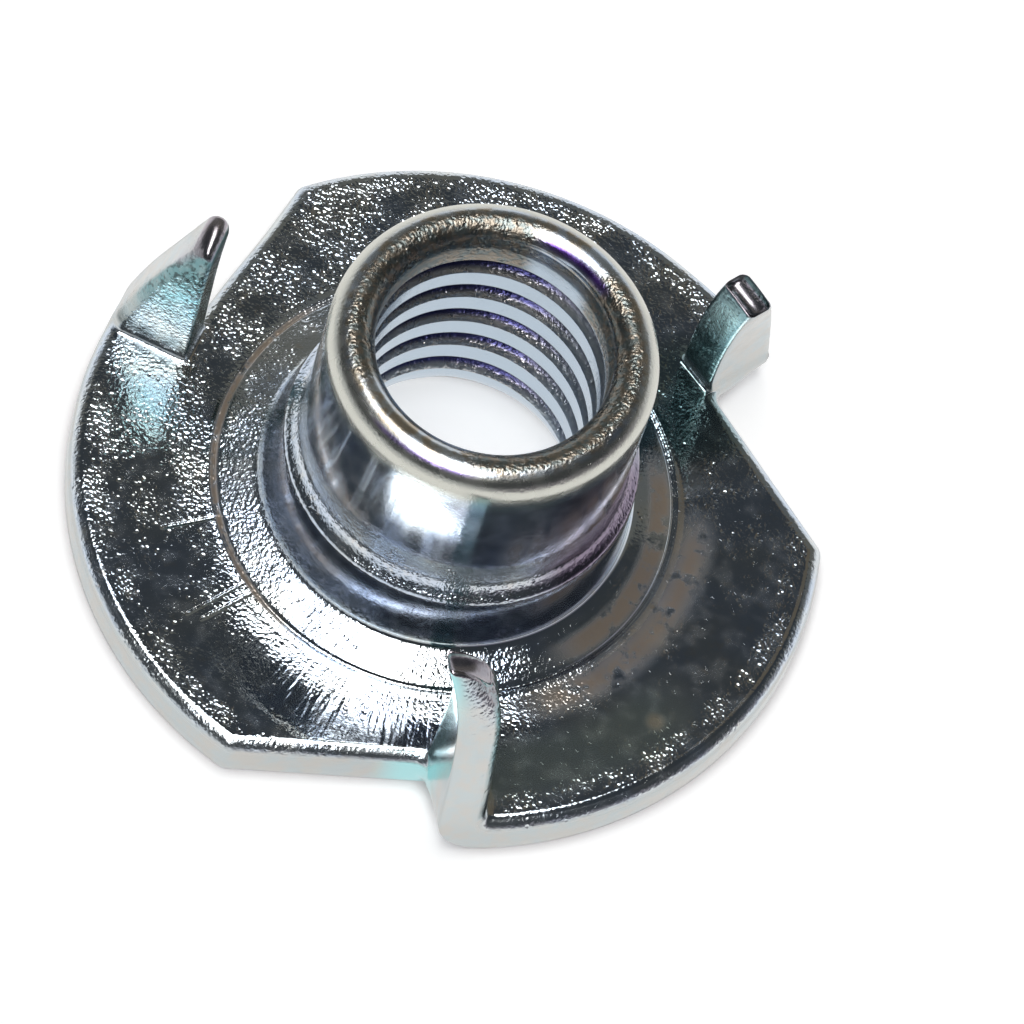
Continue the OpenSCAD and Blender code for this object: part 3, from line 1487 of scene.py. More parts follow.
@dataclass(frozen=True)
class Scratch:
    """One scratch across the flange, from one place to another, in mm."""

    from_x: float
    from_y: float
    to_x: float
    to_y: float
    width: float
    end: float = 0.1
    end_soft: float = 0.12

    def mask(self, graph: Graph, x: object, y: object) -> Socket:
        """Finds the scratch.

        Args:
            graph: the shader graph.
            x: the place along X in mm.
            y: the place along Y in mm.

        Returns:
            1 in the middle of the scratch, falling to 0 beside it.
        """
        run_x, run_y = self.to_x - self.from_x, self.to_y - self.from_y
        length = math.hypot(run_x, run_y)
        east, north = run_x / length, run_y / length
        dx = graph.math(Op.SUBTRACT, x, self.from_x)
        dy = graph.math(Op.SUBTRACT, y, self.from_y)
        along = graph.sum(graph.every(dx, east), graph.every(dy, north))
        side = graph.sum(graph.every(dx, -north), graph.every(dy, east))
        near = graph.ease(graph.math(Op.ABSOLUTE, side), Span(0.0, self.width, 1.0, 0.0))
        return graph.every(near, graph.band(along, Band(self.end, length - self.end, self.end_soft)))


@dataclass
class Zones:
    """Where each kind of surface lies on the nut, from the place and the way that it faces."""

    graph: Graph
    least_r: float = 0.01
    steep: Span = Span(0.35, 0.65, 1.0, 0.0)
    outer_r: Span = Span(8.0, 8.3)
    over_sheet: Span = Span(0.75, 1.0)
    under_foot: Span = Span(1.75, 1.95, 1.0, 0.0)
    flange_r: Span = Span(5.4, 5.6)
    faces_up: Span = Span(0.2, 0.5)
    bore_r: Span = Span(4.05, 4.15, 1.0, 0.0)
    bore_top: Span = Span(9.1, 9.5, 1.0, 0.0)
    lip_z: Span = Span(8.8, 9.3)
    lip_r: Span = Span(5.2, 5.4, 1.0, 0.0)
    ledge_z: Band = Band(3.75, 5.3, 0.2)
    ledge_r: Band = Band(4.5, 5.8, 0.1)
    barrel_z: Span = Span(1.8, 2.1)
    barrel_r: Band = Band(4.4, 5.8, 0.1)
    prong_z: Span = Span(1.5, 1.8)
    prong_r: Span = Span(7.9, 8.1)

    def __post_init__(self) -> None:
        """Lays the nodes that every mask starts from."""
        graph = self.graph
        scaled = graph.node("ShaderNodeVectorMath", operation="SCALE")
        graph.put(graph.node("ShaderNodeTexCoord").outputs["Object"], scaled.inputs[0])
        scaled.inputs["Scale"].default_value = 1.0 / MM
        self.where = scaled.outputs[0]
        self.x, self.y, self.z = graph.split(self.where)
        square = graph.sum(graph.every(self.x, self.x), graph.every(self.y, self.y))
        self.r = graph.math(Op.MAXIMUM, graph.math(Op.SQUARE_ROOT, square), self.least_r)
        self.east = graph.math(Op.DIVIDE, self.x, self.r)
        self.north = graph.math(Op.DIVIDE, self.y, self.r)
        nx, ny, self.up = graph.split(graph.node("ShaderNodeNewGeometry").outputs["Normal"])
        self.outward = graph.sum(graph.every(nx, self.east), graph.every(ny, self.north))
        self.sideways = graph.sum(graph.every(nx, self.north, -1.0), graph.every(ny, self.east))

    def toward(self, way: Toward) -> Socket:
        """1 in a direction about the bore, falling off to both sides.

        Args:
            way: the direction.

        Returns:
            The mask.
        """
        a = math.radians(way.degrees)
        east = self.graph.every(self.east, math.cos(a))
        north = self.graph.every(self.north, math.sin(a))
        return self.graph.ease(self.graph.sum(east, north), Span(way.start, way.full))

    def arc(self, band: Band, way: Toward) -> Socket:
        """1 on a stretch of a ring about the bore.

        Args:
            band: the ring's radii in mm.
            way: its direction.

        Returns:
            The mask.
        """
        return self.graph.every(self.graph.band(self.r, band), self.toward(way))

    def near(self, centre: Flat, reach: Span) -> Socket:
        """1 about a place seen from above, falling off round it.

        Args:
            centre: the place in mm.
            reach: the distances at which the mask starts to fall and ends.

        Returns:
            The mask.
        """
        dx = self.graph.math(Op.SUBTRACT, self.x, centre[0])
        dy = self.graph.math(Op.SUBTRACT, self.y, centre[1])
        square = self.graph.sum(self.graph.every(dx, dx), self.graph.every(dy, dy))
        return self.graph.ease(self.graph.math(Op.SQUARE_ROOT, square), reach)

    def sheared(self) -> Socket:
        """The sheared walls, and the outsides of the prongs."""
        upright = self.graph.ease(self.graph.math(Op.ABSOLUTE, self.up), self.steep)
        return self.graph.every(upright, self.graph.ease(self.r, self.outer_r))

    def flange(self) -> Socket:
        """The flange's upper side."""
        height = self.graph.every(
            self.graph.ease(self.z, self.over_sheet), self.graph.ease(self.z, self.under_foot)
        )
        return self.graph.every(
            height, self.graph.ease(self.r, self.flange_r), self.graph.ease(self.up, self.faces_up)
        )

    def bore(self) -> Socket:
        """The inside of the bore."""
        return self.graph.every(self.graph.ease(self.r, self.bore_r), self.graph.ease(self.z, self.bore_top))

    def lip(self) -> Socket:
        """The barrel's lip."""
        return self.graph.every(self.graph.ease(self.z, self.lip_z), self.graph.ease(self.r, self.lip_r))

    def ledge(self) -> Socket:
        """The step on the barrel's foot, and the barrel just above it."""
        return self.graph.every(self.graph.band(self.z, self.ledge_z), self.graph.band(self.r, self.ledge_r))

    def barrel(self) -> Socket:
        """The barrel's outside."""
        above = self.graph.ease(self.z, self.barrel_z)
        return self.graph.every(above, self.graph.band(self.r, self.barrel_r))

    def prongs(self) -> Socket:
        """The prongs, clear of the flange."""
        return self.graph.every(self.graph.ease(self.z, self.prong_z), self.graph.ease(self.r, self.prong_r))


@dataclass(frozen=True)
class ZincRelief:
    """The bumps in the plate: slow swells, pits, fine grain, drawn streaks and scratches, in mm."""

    patches: Grain = Grain(0.9, 0.0)
    patch_depth: Span = Span(0.3, 0.7, 0.55, 1.35)
    pit_cells: float = 7.0
    pit_shape: Span = Span(0.0, 0.62, 1.0, 0.0)
    pit_rarity: float = 2.5
    pit_depth: float = 0.014
    fine: Grain = Grain(9.0, 1.0, 0.55)
    fine_height: float = 0.0165
    swell: Grain = Grain(0.45, 0.0, 0.45)
    swell_height: float = 0.010
    streak: Grain = Grain(5.0, 1.0, 0.6)
    streak_turns: float = 8.0
    streak_run: float = 0.15
    streak_height: float = 0.016
    streak_r: Band = Band(7.1, 9.0, 0.4)
    streak_way: Toward = Toward(266.0, 0.86, 0.96)
    tilt_way: Toward = Toward(262.0, 0.85, 0.95)
    tilt_r: Span = Span(8.15, 9.7)
    tilt_height: float = 0.055
    scratch_depth: float = 0.02
    scratches: tuple[Scratch, ...] = (
        Scratch(-7.57, -4.27, -5.98, -3.26, 0.09),
        Scratch(-6.08, -6.75, -4.74, -5.13, 0.08),
        Scratch(-5.63, -6.75, -4.32, -5.22, 0.10),
    )
    flange_rough: float = 0.42
    flange_north: float = 0.36
    flange_east: float = -0.24
    flange_least: float = 0.14
    south_way: Span = Span(0.2, -0.3)
    south_r: Span = Span(8.6, 7.6, 0.0, 0.5)
    south_east: Span = Span(0.9, 0.6)
    rim_r: Band = Band(10.0, 10.6, 0.15)
    rim_share: float = 0.45
    rolled_up: Span = Span(0.97, 0.9)
    rolled_r: Span = Span(8.4, 8.8)
    rolled_share: float = 0.7
    ledge_share: float = 1.1
    hub_share: float = 0.75
    mouth_share: float = 1.25
    flank_up: Span = Span(0.1, 0.4)
    flank_r: Span = Span(3.8, 3.5, 0.3, 1.3)
    face_side: Span = Span(0.0, 0.3)
    face_up: Span = Span(0.85, 0.6)
    face_share: float = 1.3
    inner_out: Span = Span(-0.4, -0.8)
    inner_share: float = 1.2
    bore_share: float = 0.35
    lip_share: float = 0.16
    barrel_share: float = 0.10
    least_share: float = 0.02
    hub_r: Span = Span(6.65, 6.85, 1.0, 0.0)
    hub_way: Toward = Toward(185.0, 0.15, 0.55)
    mouth_r: Span = Span(4.15, 4.35, 1.0, 0.0)
    mouth_z: Span = Span(8.3, 8.6)
    # the two directions where the soft box's highlight falls on the lip's inside, left out of the dull mouth
    highlight_ways: tuple[Toward, ...] = (Toward(70.0, 0.93, 0.985), Toward(246.0, 0.82, 0.93))

    def rough_hub(self, graph: Graph, zones: Zones) -> Socket:
        """The coarse side of the hub inside the ring.

        Args:
            graph: the shader graph.
            zones: the nut's zones.

        Returns:
            Its mask.
        """
        return graph.every(zones.flange(), graph.ease(zones.r, self.hub_r), zones.toward(self.hub_way))

    def mouth(self, graph: Graph, zones: Zones) -> Socket:
        """The coarse, dull inside of the lip, but for the two sides where the soft box's highlight falls.

        Args:
            graph: the shader graph.
            zones: the nut's zones.

        Returns:
            Its mask.
        """
        mask = graph.every(graph.ease(zones.r, self.mouth_r), graph.ease(zones.z, self.mouth_z))
        for way in self.highlight_ways:
            mask = graph.every(mask, graph.math(Op.SUBTRACT, 1.0, zones.toward(way), clamp=True))
        return mask

    def depth(self, graph: Graph, zones: Zones) -> Socket:
        """How coarse the surface is, from 0 to about 1.

        Args:
            graph: the shader graph.
            zones: the nut's zones.

        Returns:
            The depth's share.
        """
        across = graph.sum(
            self.flange_rough,
            graph.every(zones.north, self.flange_north),
            graph.every(zones.east, self.flange_east),
        )
        south = graph.every(
            graph.ease(zones.north, self.south_way),
            graph.ease(zones.r, self.south_r),
            graph.ease(zones.east, self.south_east),
        )
        rolled = graph.every(
            graph.ease(zones.up, self.rolled_up), graph.ease(zones.r, self.rolled_r), self.rolled_share
        )
        flange = graph.sum(
            graph.math(Op.MAXIMUM, across, self.flange_least),
            south,
            graph.every(graph.band(zones.r, self.rim_r), self.rim_share),
            rolled,
        )
        flank = graph.every(
            zones.bore(), graph.ease(zones.up, self.flank_up), graph.ease(zones.r, self.flank_r)
        )
        face = graph.every(
            zones.prongs(), graph.ease(zones.sideways, self.face_side), graph.ease(zones.up, self.face_up)
        )
        inner = graph.every(zones.prongs(), graph.ease(zones.outward, self.inner_out))
        return graph.sum(
            graph.every(zones.flange(), flange),
            graph.every(zones.ledge(), self.ledge_share),
            graph.every(self.rough_hub(graph, zones), self.hub_share),
            graph.every(self.mouth(graph, zones), self.mouth_share),
            flank,
            graph.every(face, self.face_share),
            graph.every(inner, self.inner_share),
            graph.every(zones.bore(), self.bore_share),
            graph.every(zones.lip(), self.lip_share),
            graph.every(zones.barrel(), self.barrel_share),
            self.least_share,
        )

    def normal(self, graph: Graph, zones: Zones) -> Socket:
        """Bumps the surface.

        Args:
            graph: the shader graph.
            zones: the nut's zones.

        Returns:
            The normal.
        """
        patch = graph.ease(graph.noise(zones.where, self.patches), self.patch_depth)
        depth = graph.every(self.depth(graph, zones), patch)
        distance, pick = graph.cells(zones.where, self.pit_cells)
        rare = graph.math(Op.POWER, pick, self.pit_rarity)
        pits = graph.every(graph.ease(distance, self.pit_shape), rare, -self.pit_depth)
        fine = graph.every(graph.noise(zones.where, self.fine), self.fine_height)
        drawn = graph.node("ShaderNodeCombineXYZ")
        graph.put(graph.every(zones.east, self.streak_turns), drawn.inputs[0])
        graph.put(graph.every(zones.north, self.streak_turns), drawn.inputs[1])
        graph.put(graph.every(zones.r, self.streak_run), drawn.inputs[2])
        pulled = graph.every(zones.flange(), zones.arc(self.streak_r, self.streak_way))
        tilt = graph.every(zones.toward(self.tilt_way), graph.ease(zones.r, self.tilt_r), self.tilt_height)
        marks = [mark.mask(graph, zones.x, zones.y) for mark in self.scratches]
        cuts = [graph.every(mark, -self.scratch_depth) for mark in marks]
        normal = graph.bump(graph.noise(zones.where, self.swell), self.swell_height * MM)
        streaks = graph.noise(drawn.outputs[0], self.streak)
        normal = graph.bump(streaks, graph.every(pulled, self.streak_height * MM), normal)
        normal = graph.bump(graph.sum(tilt, *cuts), graph.every(zones.flange(), MM), normal)
        return graph.bump(graph.sum(pits, fine), graph.every(depth, MM), normal)


@dataclass(frozen=True)
class ZincFinish:
    """Bright zinc plate over pressed steel: blue and straw films, stains and pale sheared walls, with painted
    shade on the barrel's right side, its riser, the thread's roots, the prongs' inner faces and folds, a
    painted highlight at the near prong's notch, and violet fringes painted beside the lip's highlights.
    """

    relief: ZincRelief = ZincRelief()
    plate: Colour = (0.74, 0.78, 0.79)
    cool: Colour = (0.66, 0.74, 0.84)
    warm: Colour = (0.80, 0.76, 0.68)
    # navy blue film on the barrel, laid thicker on its right side as painted shade
    navy_film_and_shade: Colour = (0.46, 0.50, 0.64)
    # dark wine, painted shade over the barrel's right side
    painted_shade_wine: Colour = (0.25, 0.19, 0.26)
    # dim blue-grey, painted shade on the riser below the barrel's step
    painted_riser_shade: Colour = (0.40, 0.44, 0.54)
    worn: Colour = (0.64, 0.64, 0.58)
    gold: Colour = (0.56, 0.44, 0.28)
    thread: Colour = (0.54, 0.65, 0.76)
    sand: Colour = (0.76, 0.70, 0.64)
    # dark navy, painted shade in the thread's roots
    root: Colour = (0.11, 0.11, 0.30)
    gloom: Colour = (0.24, 0.27, 0.26)
    rust: Colour = (0.36, 0.31, 0.25)
    # violet, painted as colour fringes beside the lip's highlights
    violet: Colour = (0.20, 0.10, 0.48)
    teal: Colour = (0.20, 0.36, 0.38)
    cream: Colour = (0.63, 0.62, 0.59)
    pale: Colour = (0.58, 0.63, 0.64)
    # bright cyan, a painted highlight on the walls at the near prong's notch
    notch_highlight_cyan: Colour = (0.50, 0.86, 0.88)
    # dark teal, painted shade on the prongs' inner faces, which face the barrel
    painted_inner_shade: Colour = (0.12, 0.22, 0.22)
    # near-black: dark specks on the prongs' faces, and painted shade low in their folds
    corner: Colour = (0.05, 0.07, 0.07)
    brown: Colour = (0.34, 0.25, 0.17)
    plum: Colour = (0.44, 0.38, 0.41)
    haze: Colour = (0.42, 0.50, 0.42)
    slow: Grain = Grain(0.55)
    slow_mix: Span = Span(0.35, 0.65)
    quick: Grain = Grain(2.6, 3.0, 0.6)
    warm_mix: Span = Span(0.52, 0.75, 0.0, 0.5)
    below_lip: Span = Span(8.9, 8.5)
    navy_shade_east: Span = Span(-0.3, 0.5, 0.35, 0.95)
    navy_ledge: Span = Span(0.3, 0.8, 1.0, 0.25)
    painted_shade_way: Toward = Toward(-14.0, 0.74, 0.95)
    painted_shade_share: float = 0.9
    riser_z: Span = Span(3.5, 3.9, 1.0, 0.0)
    riser_shade_share: float = 0.85
    worn_r: Span = Span(4.35, 4.5)
    stain_r: Span = Span(4.5, 4.3)
    stain: Grain = Grain(1.3, 3.0, 0.6)
    stain_mix: Span = Span(0.42, 0.6)
    stain_share: float = 0.75
    thread_share: float = 0.9
    flank_up: Span = Span(0.1, 0.4)
    flank_east: Span = Span(0.2, 0.7, 0.8, 0.25)
    root_shade_z: Span = Span(1.8, 2.2)
    root_shade_r: Span = Span(3.48, 3.64)
    root_shade_east: Span = Span(0.1, 0.7, 1.0, 0.3)
    mouth: Grain = Grain(4.5, 3.0, 0.6)
    mouth_mix: Span = Span(0.4, 0.6)
    far_fringe_r: Band = Band(3.62, 3.8, 0.08)
    far_fringe_way: Toward = Toward(66.0, 0.92, 0.98)
    near_fringe_r: Band = Band(4.42, 4.52, 0.05)
    near_fringe_way: Toward = Toward(256.0, 0.9, 0.97)
    near_fringe_share: float = 0.7
    fringe_z: Span = Span(9.2, 9.4)
    teal_r: Band = Band(6.6, 9.0, 0.5)
    teal_way: Toward = Toward(42.0, 0.955, 0.985)
    teal_up: Span = Span(0.4, 0.7)
    teal_share: float = 0.7
    shear: Grain = Grain(1.5, 4.0, 0.6)
    shear_mix: Span = Span(0.35, 0.65)
    notch: Flat = (1.5, -9.1)
    notch_reach: Span = Span(0.2, 1.3, 1.0, 0.0)
    notch_up: Span = Span(0.6, 0.4)
    inner_shade_out: Span = Span(-0.65, -0.88)
    inner_shade_share: float = 0.9
    face_side: Span = Span(0.3, 0.7)
    face_z: Span = Span(2.4, 4.4, 0.35, 1.0)
    face_mix: Span = Span(0.3, 0.6, 0.75, 1.0)
    speck: Grain = Grain(5.5, 2.0, 0.6)
    speck_mix: Span = Span(0.48, 0.62)
    speck_z: Span = Span(3.0, 4.6)
    speck_share: float = 0.75
    # where the painted shade in the prongs' folds lies, and how thickly
    fold_z: Span = Span(2.5, 1.7)
    fold_shade_mix: Span = Span(0.35, 0.6, 0.55, 0.95)
    broken: Grain = Grain(1.5, 3.0, 0.6)
    broken_mix: Span = Span(0.3, 0.5)
    brown_arcs: tuple[tuple[Band, Toward], ...] = (
        (Band(6.95, 7.75, 0.4), Toward(-22.0, 0.78, 0.92)),
        (Band(5.9, 6.5, 0.15), Toward(-8.0, 0.75, 0.9)),
        (Band(6.82, 7.02, 0.06), Toward(190.0, 0.5, 0.8)),
    )
    brown_share: float = 0.85
    brown_dull: float = 0.5
    tip_z: Span = Span(5.0, 5.8)
    tip_up: Span = Span(0.45, 0.7)
    tip_share: float = 0.8
    haze_r: Band = Band(8.3, 10.2, 0.5)
    haze_way: Toward = Toward(308.0, 0.86, 0.96)
    haze_share: float = 0.7
    haze_dull: float = 0.09
    spot: Flat = (7.74, -5.3)
    spot_reach: Span = Span(0.1, 0.42, 1.0, 0.0)
    spot_share: float = 0.6
    spot_dull: float = 0.3
    polish: float = 0.07
    bore_rough: float = 0.12
    flank_rough: Span = Span(0.2, 0.7, 0.06, 0.22)
    mouth_rough: float = 0.06
    hub_rough: float = 0.12
    ledge_rough: float = 0.08
    shear_rough: float = 0.14
    barrel_rough: float = 0.04
    lip_rough: float = 0.14
    rim_up: Span = Span(0.97, 0.9)
    rim_r: Span = Span(8.4, 8.8)
    rim_rough: float = 0.15
    tip_rough_z: Span = Span(5.6, 6.4)
    tip_rough: float = 0.14
    smear: Grain = Grain(1.7)
    smear_rough: Span = Span(0.4, 0.7, 0.0, 0.06)

    def lay(self, graph: Graph, under: object, paint: Colour, *masks: object) -> Socket:
        """Lays one colour over another.

        Args:
            graph: the shader graph.
            under: the colour below.
            paint: the colour on top.
            masks: where and how thickly it lies.

        Returns:
            The mixed colour.
        """
        return graph.mix(graph.every(*masks), under, rgba(paint))

    def arcs(self, graph: Graph, zones: Zones) -> Socket:
        """The dull brown arcs beside the ring.

        Args:
            graph: the shader graph.
            zones: the nut's zones.

        Returns:
            Their mask.
        """
        broken = graph.ease(graph.noise(zones.where, self.broken), self.broken_mix)
        arcs = graph.sum(*(zones.arc(band, way) for band, way in self.brown_arcs))
        return graph.every(arcs, broken, zones.flange())

    def plate_films(self, graph: Graph, zones: Zones, quick: Socket) -> Socket:
        """Colours the plate itself and the barrel's films, with painted shade on the barrel's right side and
        on the riser below its step.

        Args:
            graph: the shader graph.
            zones: the nut's zones.
            quick: the fine mottling.

        Returns:
            The colour.
        """
        slow = graph.ease(graph.noise(zones.where, self.slow), self.slow_mix)
        colour = graph.mix(slow, rgba(self.cool), rgba(self.plate))
        colour = self.lay(graph, colour, self.warm, graph.ease(quick, self.warm_mix))
        below = graph.every(zones.barrel(), graph.ease(zones.z, self.below_lip))
        # the navy is laid thicker towards the east: partly a blue film, partly painted shade of the barrel's
        # right side
        blue = graph.every(graph.ease(zones.east, self.navy_shade_east), graph.ease(zones.ledge(), self.navy_ledge))
        colour = self.lay(graph, colour, self.navy_film_and_shade, below, blue)
        # painted shade: dark wine over the barrel's right side, below the lip
        colour = self.lay(graph, colour, self.painted_shade_wine, below, zones.toward(self.painted_shade_way), self.painted_shade_share)
        # painted shade on the riser below the step
        riser = graph.every(zones.barrel(), graph.ease(zones.z, self.riser_z))
        return self.lay(graph, colour, self.painted_riser_shade, riser, self.riser_shade_share)

    def lip_and_bore(self, graph: Graph, zones: Zones, colour: Socket) -> Socket:
        """Colours the worn, stained lip, the thread and the mouth, with painted shade in the thread's roots
        and violet fringes painted beside the lip's highlights.

        Args:
            graph: the shader graph.
            zones: the nut's zones.
            colour: the colour so far.

        Returns:
            The colour.
        """
        colour = self.lay(graph, colour, self.worn, zones.lip(), graph.ease(zones.r, self.worn_r))
        stain = graph.ease(graph.noise(zones.where, self.stain), self.stain_mix)
        stain = graph.every(zones.lip(), graph.ease(zones.r, self.stain_r), stain)
        colour = self.lay(graph, colour, self.gold, stain, self.stain_share)
        colour = self.lay(graph, colour, self.thread, zones.bore(), self.thread_share)
        flank = graph.every(zones.bore(), graph.ease(zones.up, self.flank_up))
        colour = self.lay(graph, colour, self.sand, flank, graph.ease(zones.east, self.flank_east))
        # painted shade: dark navy in the thread's roots, heavier towards the west
        root = graph.every(zones.bore(), graph.ease(zones.z, self.root_shade_z), graph.ease(zones.r, self.root_shade_r))
        colour = self.lay(graph, colour, self.root, root, graph.ease(zones.east, self.root_shade_east))
        dull = graph.ease(graph.noise(zones.where, self.mouth), self.mouth_mix)
        inside = graph.mix(dull, rgba(self.gloom), rgba(self.rust))
        colour = graph.mix(self.relief.mouth(graph, zones), colour, inside)
        # violet fringes painted beside the lip's far and near highlights
        near = graph.every(zones.arc(self.near_fringe_r, self.near_fringe_way), self.near_fringe_share)
        films = graph.sum(zones.arc(self.far_fringe_r, self.far_fringe_way), near)
        return self.lay(graph, colour, self.violet, films, graph.ease(zones.z, self.fringe_z))

    def prong_films(self, graph: Graph, zones: Zones, colour: Socket, quick: Socket) -> Socket:
        """Colours the sheared walls and the prongs' faces, with a painted highlight at the notch, and painted
        shade on the prongs' inner faces and low in their folds.

        Args:
            graph: the shader graph.
            zones: the nut's zones.
            colour: the colour so far.
            quick: the fine mottling.

        Returns:
            The colour.
        """
        roots = graph.every(zones.arc(self.teal_r, self.teal_way), graph.ease(zones.up, self.teal_up))
        colour = self.lay(graph, colour, self.teal, roots, self.teal_share)
        mottle = graph.ease(graph.noise(zones.where, self.shear), self.shear_mix)
        colour = graph.mix(zones.sheared(), colour, graph.mix(mottle, rgba(self.cream), rgba(self.pale)))
        # painted highlight: bright cyan on the walls round the near prong's notch
        notch = graph.every(zones.near(self.notch, self.notch_reach), graph.ease(zones.up, self.notch_up))
        colour = self.lay(graph, colour, self.notch_highlight_cyan, notch)
        # painted shade on the prongs' inner faces
        inner = graph.every(zones.prongs(), graph.ease(zones.outward, self.inner_shade_out))
        colour = self.lay(graph, colour, self.painted_inner_shade, inner, self.inner_shade_share)
        side = graph.every(zones.prongs(), graph.ease(zones.sideways, self.face_side))
        face = graph.every(side, graph.ease(zones.z, self.face_z), graph.ease(quick, self.face_mix))
        colour = self.lay(graph, colour, self.teal, face)
        speck = graph.ease(graph.noise(zones.where, self.speck), self.speck_mix)
        speck = graph.every(face, speck, graph.ease(zones.z, self.speck_z))
        colour = self.lay(graph, colour, self.corner, speck, self.speck_share)
        # painted shade: near-black low on the prongs' faces, in the corner of the fold
        fold = graph.every(side, graph.ease(zones.z, self.fold_z), graph.ease(quick, self.fold_shade_mix))
        return self.lay(graph, colour, self.corner, fold)

    def tint(self, graph: Graph, zones: Zones, haze: Socket, spot: Socket) -> Socket:
        """Colours the whole nut.

        Args:
            graph: the shader graph.
            zones: the nut's zones.
            haze: where the flange's dull haze lies.
            spot: where its rust spot lies.

        Returns:
            The colour.
        """
        quick = graph.noise(zones.where, self.quick)
        colour = self.plate_films(graph, zones, quick)
        colour = self.lip_and_bore(graph, zones, colour)
        colour = self.prong_films(graph, zones, colour, quick)
        colour = self.lay(graph, colour, self.brown, self.arcs(graph, zones), self.brown_share)
        tips = graph.every(graph.ease(zones.z, self.tip_z), graph.ease(zones.up, self.tip_up))
        colour = self.lay(graph, colour, self.plum, zones.prongs(), tips, self.tip_share)
        colour = self.lay(graph, colour, self.haze, haze, self.haze_share)
        return self.lay(graph, colour, self.gold, spot)

    def rough(self, graph: Graph, zones: Zones) -> Socket:
        """How rough the plate is.

        Args:
            graph: the shader graph.
            zones: the nut's zones.

        Returns:
            The roughness.
        """
        flank = graph.every(graph.ease(zones.up, self.flank_up), graph.ease(zones.east, self.flank_rough))
        rim = graph.every(graph.ease(zones.up, self.rim_up), graph.ease(zones.r, self.rim_r))
        return graph.sum(
            self.polish,
            graph.every(zones.bore(), self.bore_rough),
            graph.every(zones.bore(), flank),
            graph.every(self.relief.mouth(graph, zones), self.mouth_rough),
            graph.every(self.relief.rough_hub(graph, zones), self.hub_rough),
            graph.every(zones.ledge(), self.ledge_rough),
            graph.every(zones.sheared(), self.shear_rough),
            graph.every(zones.barrel(), self.barrel_rough),
            graph.every(zones.lip(), self.lip_rough),
            graph.every(zones.flange(), rim, self.rim_rough),
            graph.every(zones.prongs(), graph.ease(zones.z, self.tip_rough_z), self.tip_rough),
            graph.ease(graph.noise(zones.where, self.smear), self.smear_rough),
        )

    def material(self) -> bpy.types.Material:
        """Makes the finish's material.

        Returns:
            The new material.
        """
        mat = bpy.data.materials.new("bright_zinc")
        mat.use_nodes = True
        graph = Graph(mat.node_tree)
        shader = mat.node_tree.nodes["Principled BSDF"]
        zones = Zones(graph)
        haze = graph.every(zones.flange(), zones.arc(self.haze_r, self.haze_way))
        spot = graph.every(zones.flange(), zones.near(self.spot, self.spot_reach), self.spot_share)
        dull = graph.sum(
            graph.every(haze, self.haze_dull),
            graph.every(spot, self.spot_dull),
            graph.every(self.arcs(graph, zones), self.brown_dull),
        )
        graph.put(self.relief.normal(graph, zones), shader.inputs["Normal"])
        graph.put(self.tint(graph, zones, haze, spot), shader.inputs["Base Color"])
        graph.put(graph.math(Op.SUBTRACT, 1.0, dull, clamp=True), shader.inputs["Metallic"])
        graph.put(self.rough(graph, zones), shader.inputs["Roughness"])
        return mat


@dataclass(frozen=True)
class Viewpoint:
    """Where the camera stands and what it aims at, in radii of the flange, and its lens."""

    unit: float = 11.1
    elevation: float = 59.97
    distance: float = 28.604
    aim_x: float = 0.17741
    aim_y: float = 0.05654
    focal: float = 10885.93
    roll: float = 0.32576
    frame_px: float = 1024.0
    sensor: float = 36.0
    nearest: float = 0.01
    farthest: float = 10.0

    def build(self) -> bpy.types.Object:
        """Makes the camera and gives it to the scene.

        Returns:
            The camera.
        """
        el = math.radians(self.elevation)
        place = Vector((0.0, -self.distance * math.cos(el), self.distance * math.sin(el)))
        forward = (Vector((self.aim_x, self.aim_y, 0.0)) - place).normalized()
        right = forward.cross(Vector((0.0, 0.0, 1.0))).normalized()
        up = right.cross(forward)
        c, s = math.cos(self.roll), math.sin(self.roll)
        right, up = c * right + s * up, c * up - s * right
        turn = Matrix((right, up, -forward)).transposed()
        data = bpy.data.cameras.new("camera")
        data.sensor_width = self.sensor
        data.lens = self.focal / self.frame_px * self.sensor
        data.clip_start = self.nearest
        data.clip_end = self.farthest
        camera = bpy.data.objects.new("camera", data)
        camera.matrix_world = Matrix.Translation(place * self.unit * MM) @ turn.to_4x4()
        bpy.context.scene.collection.objects.link(camera)
        bpy.context.scene.camera = camera
        return camera


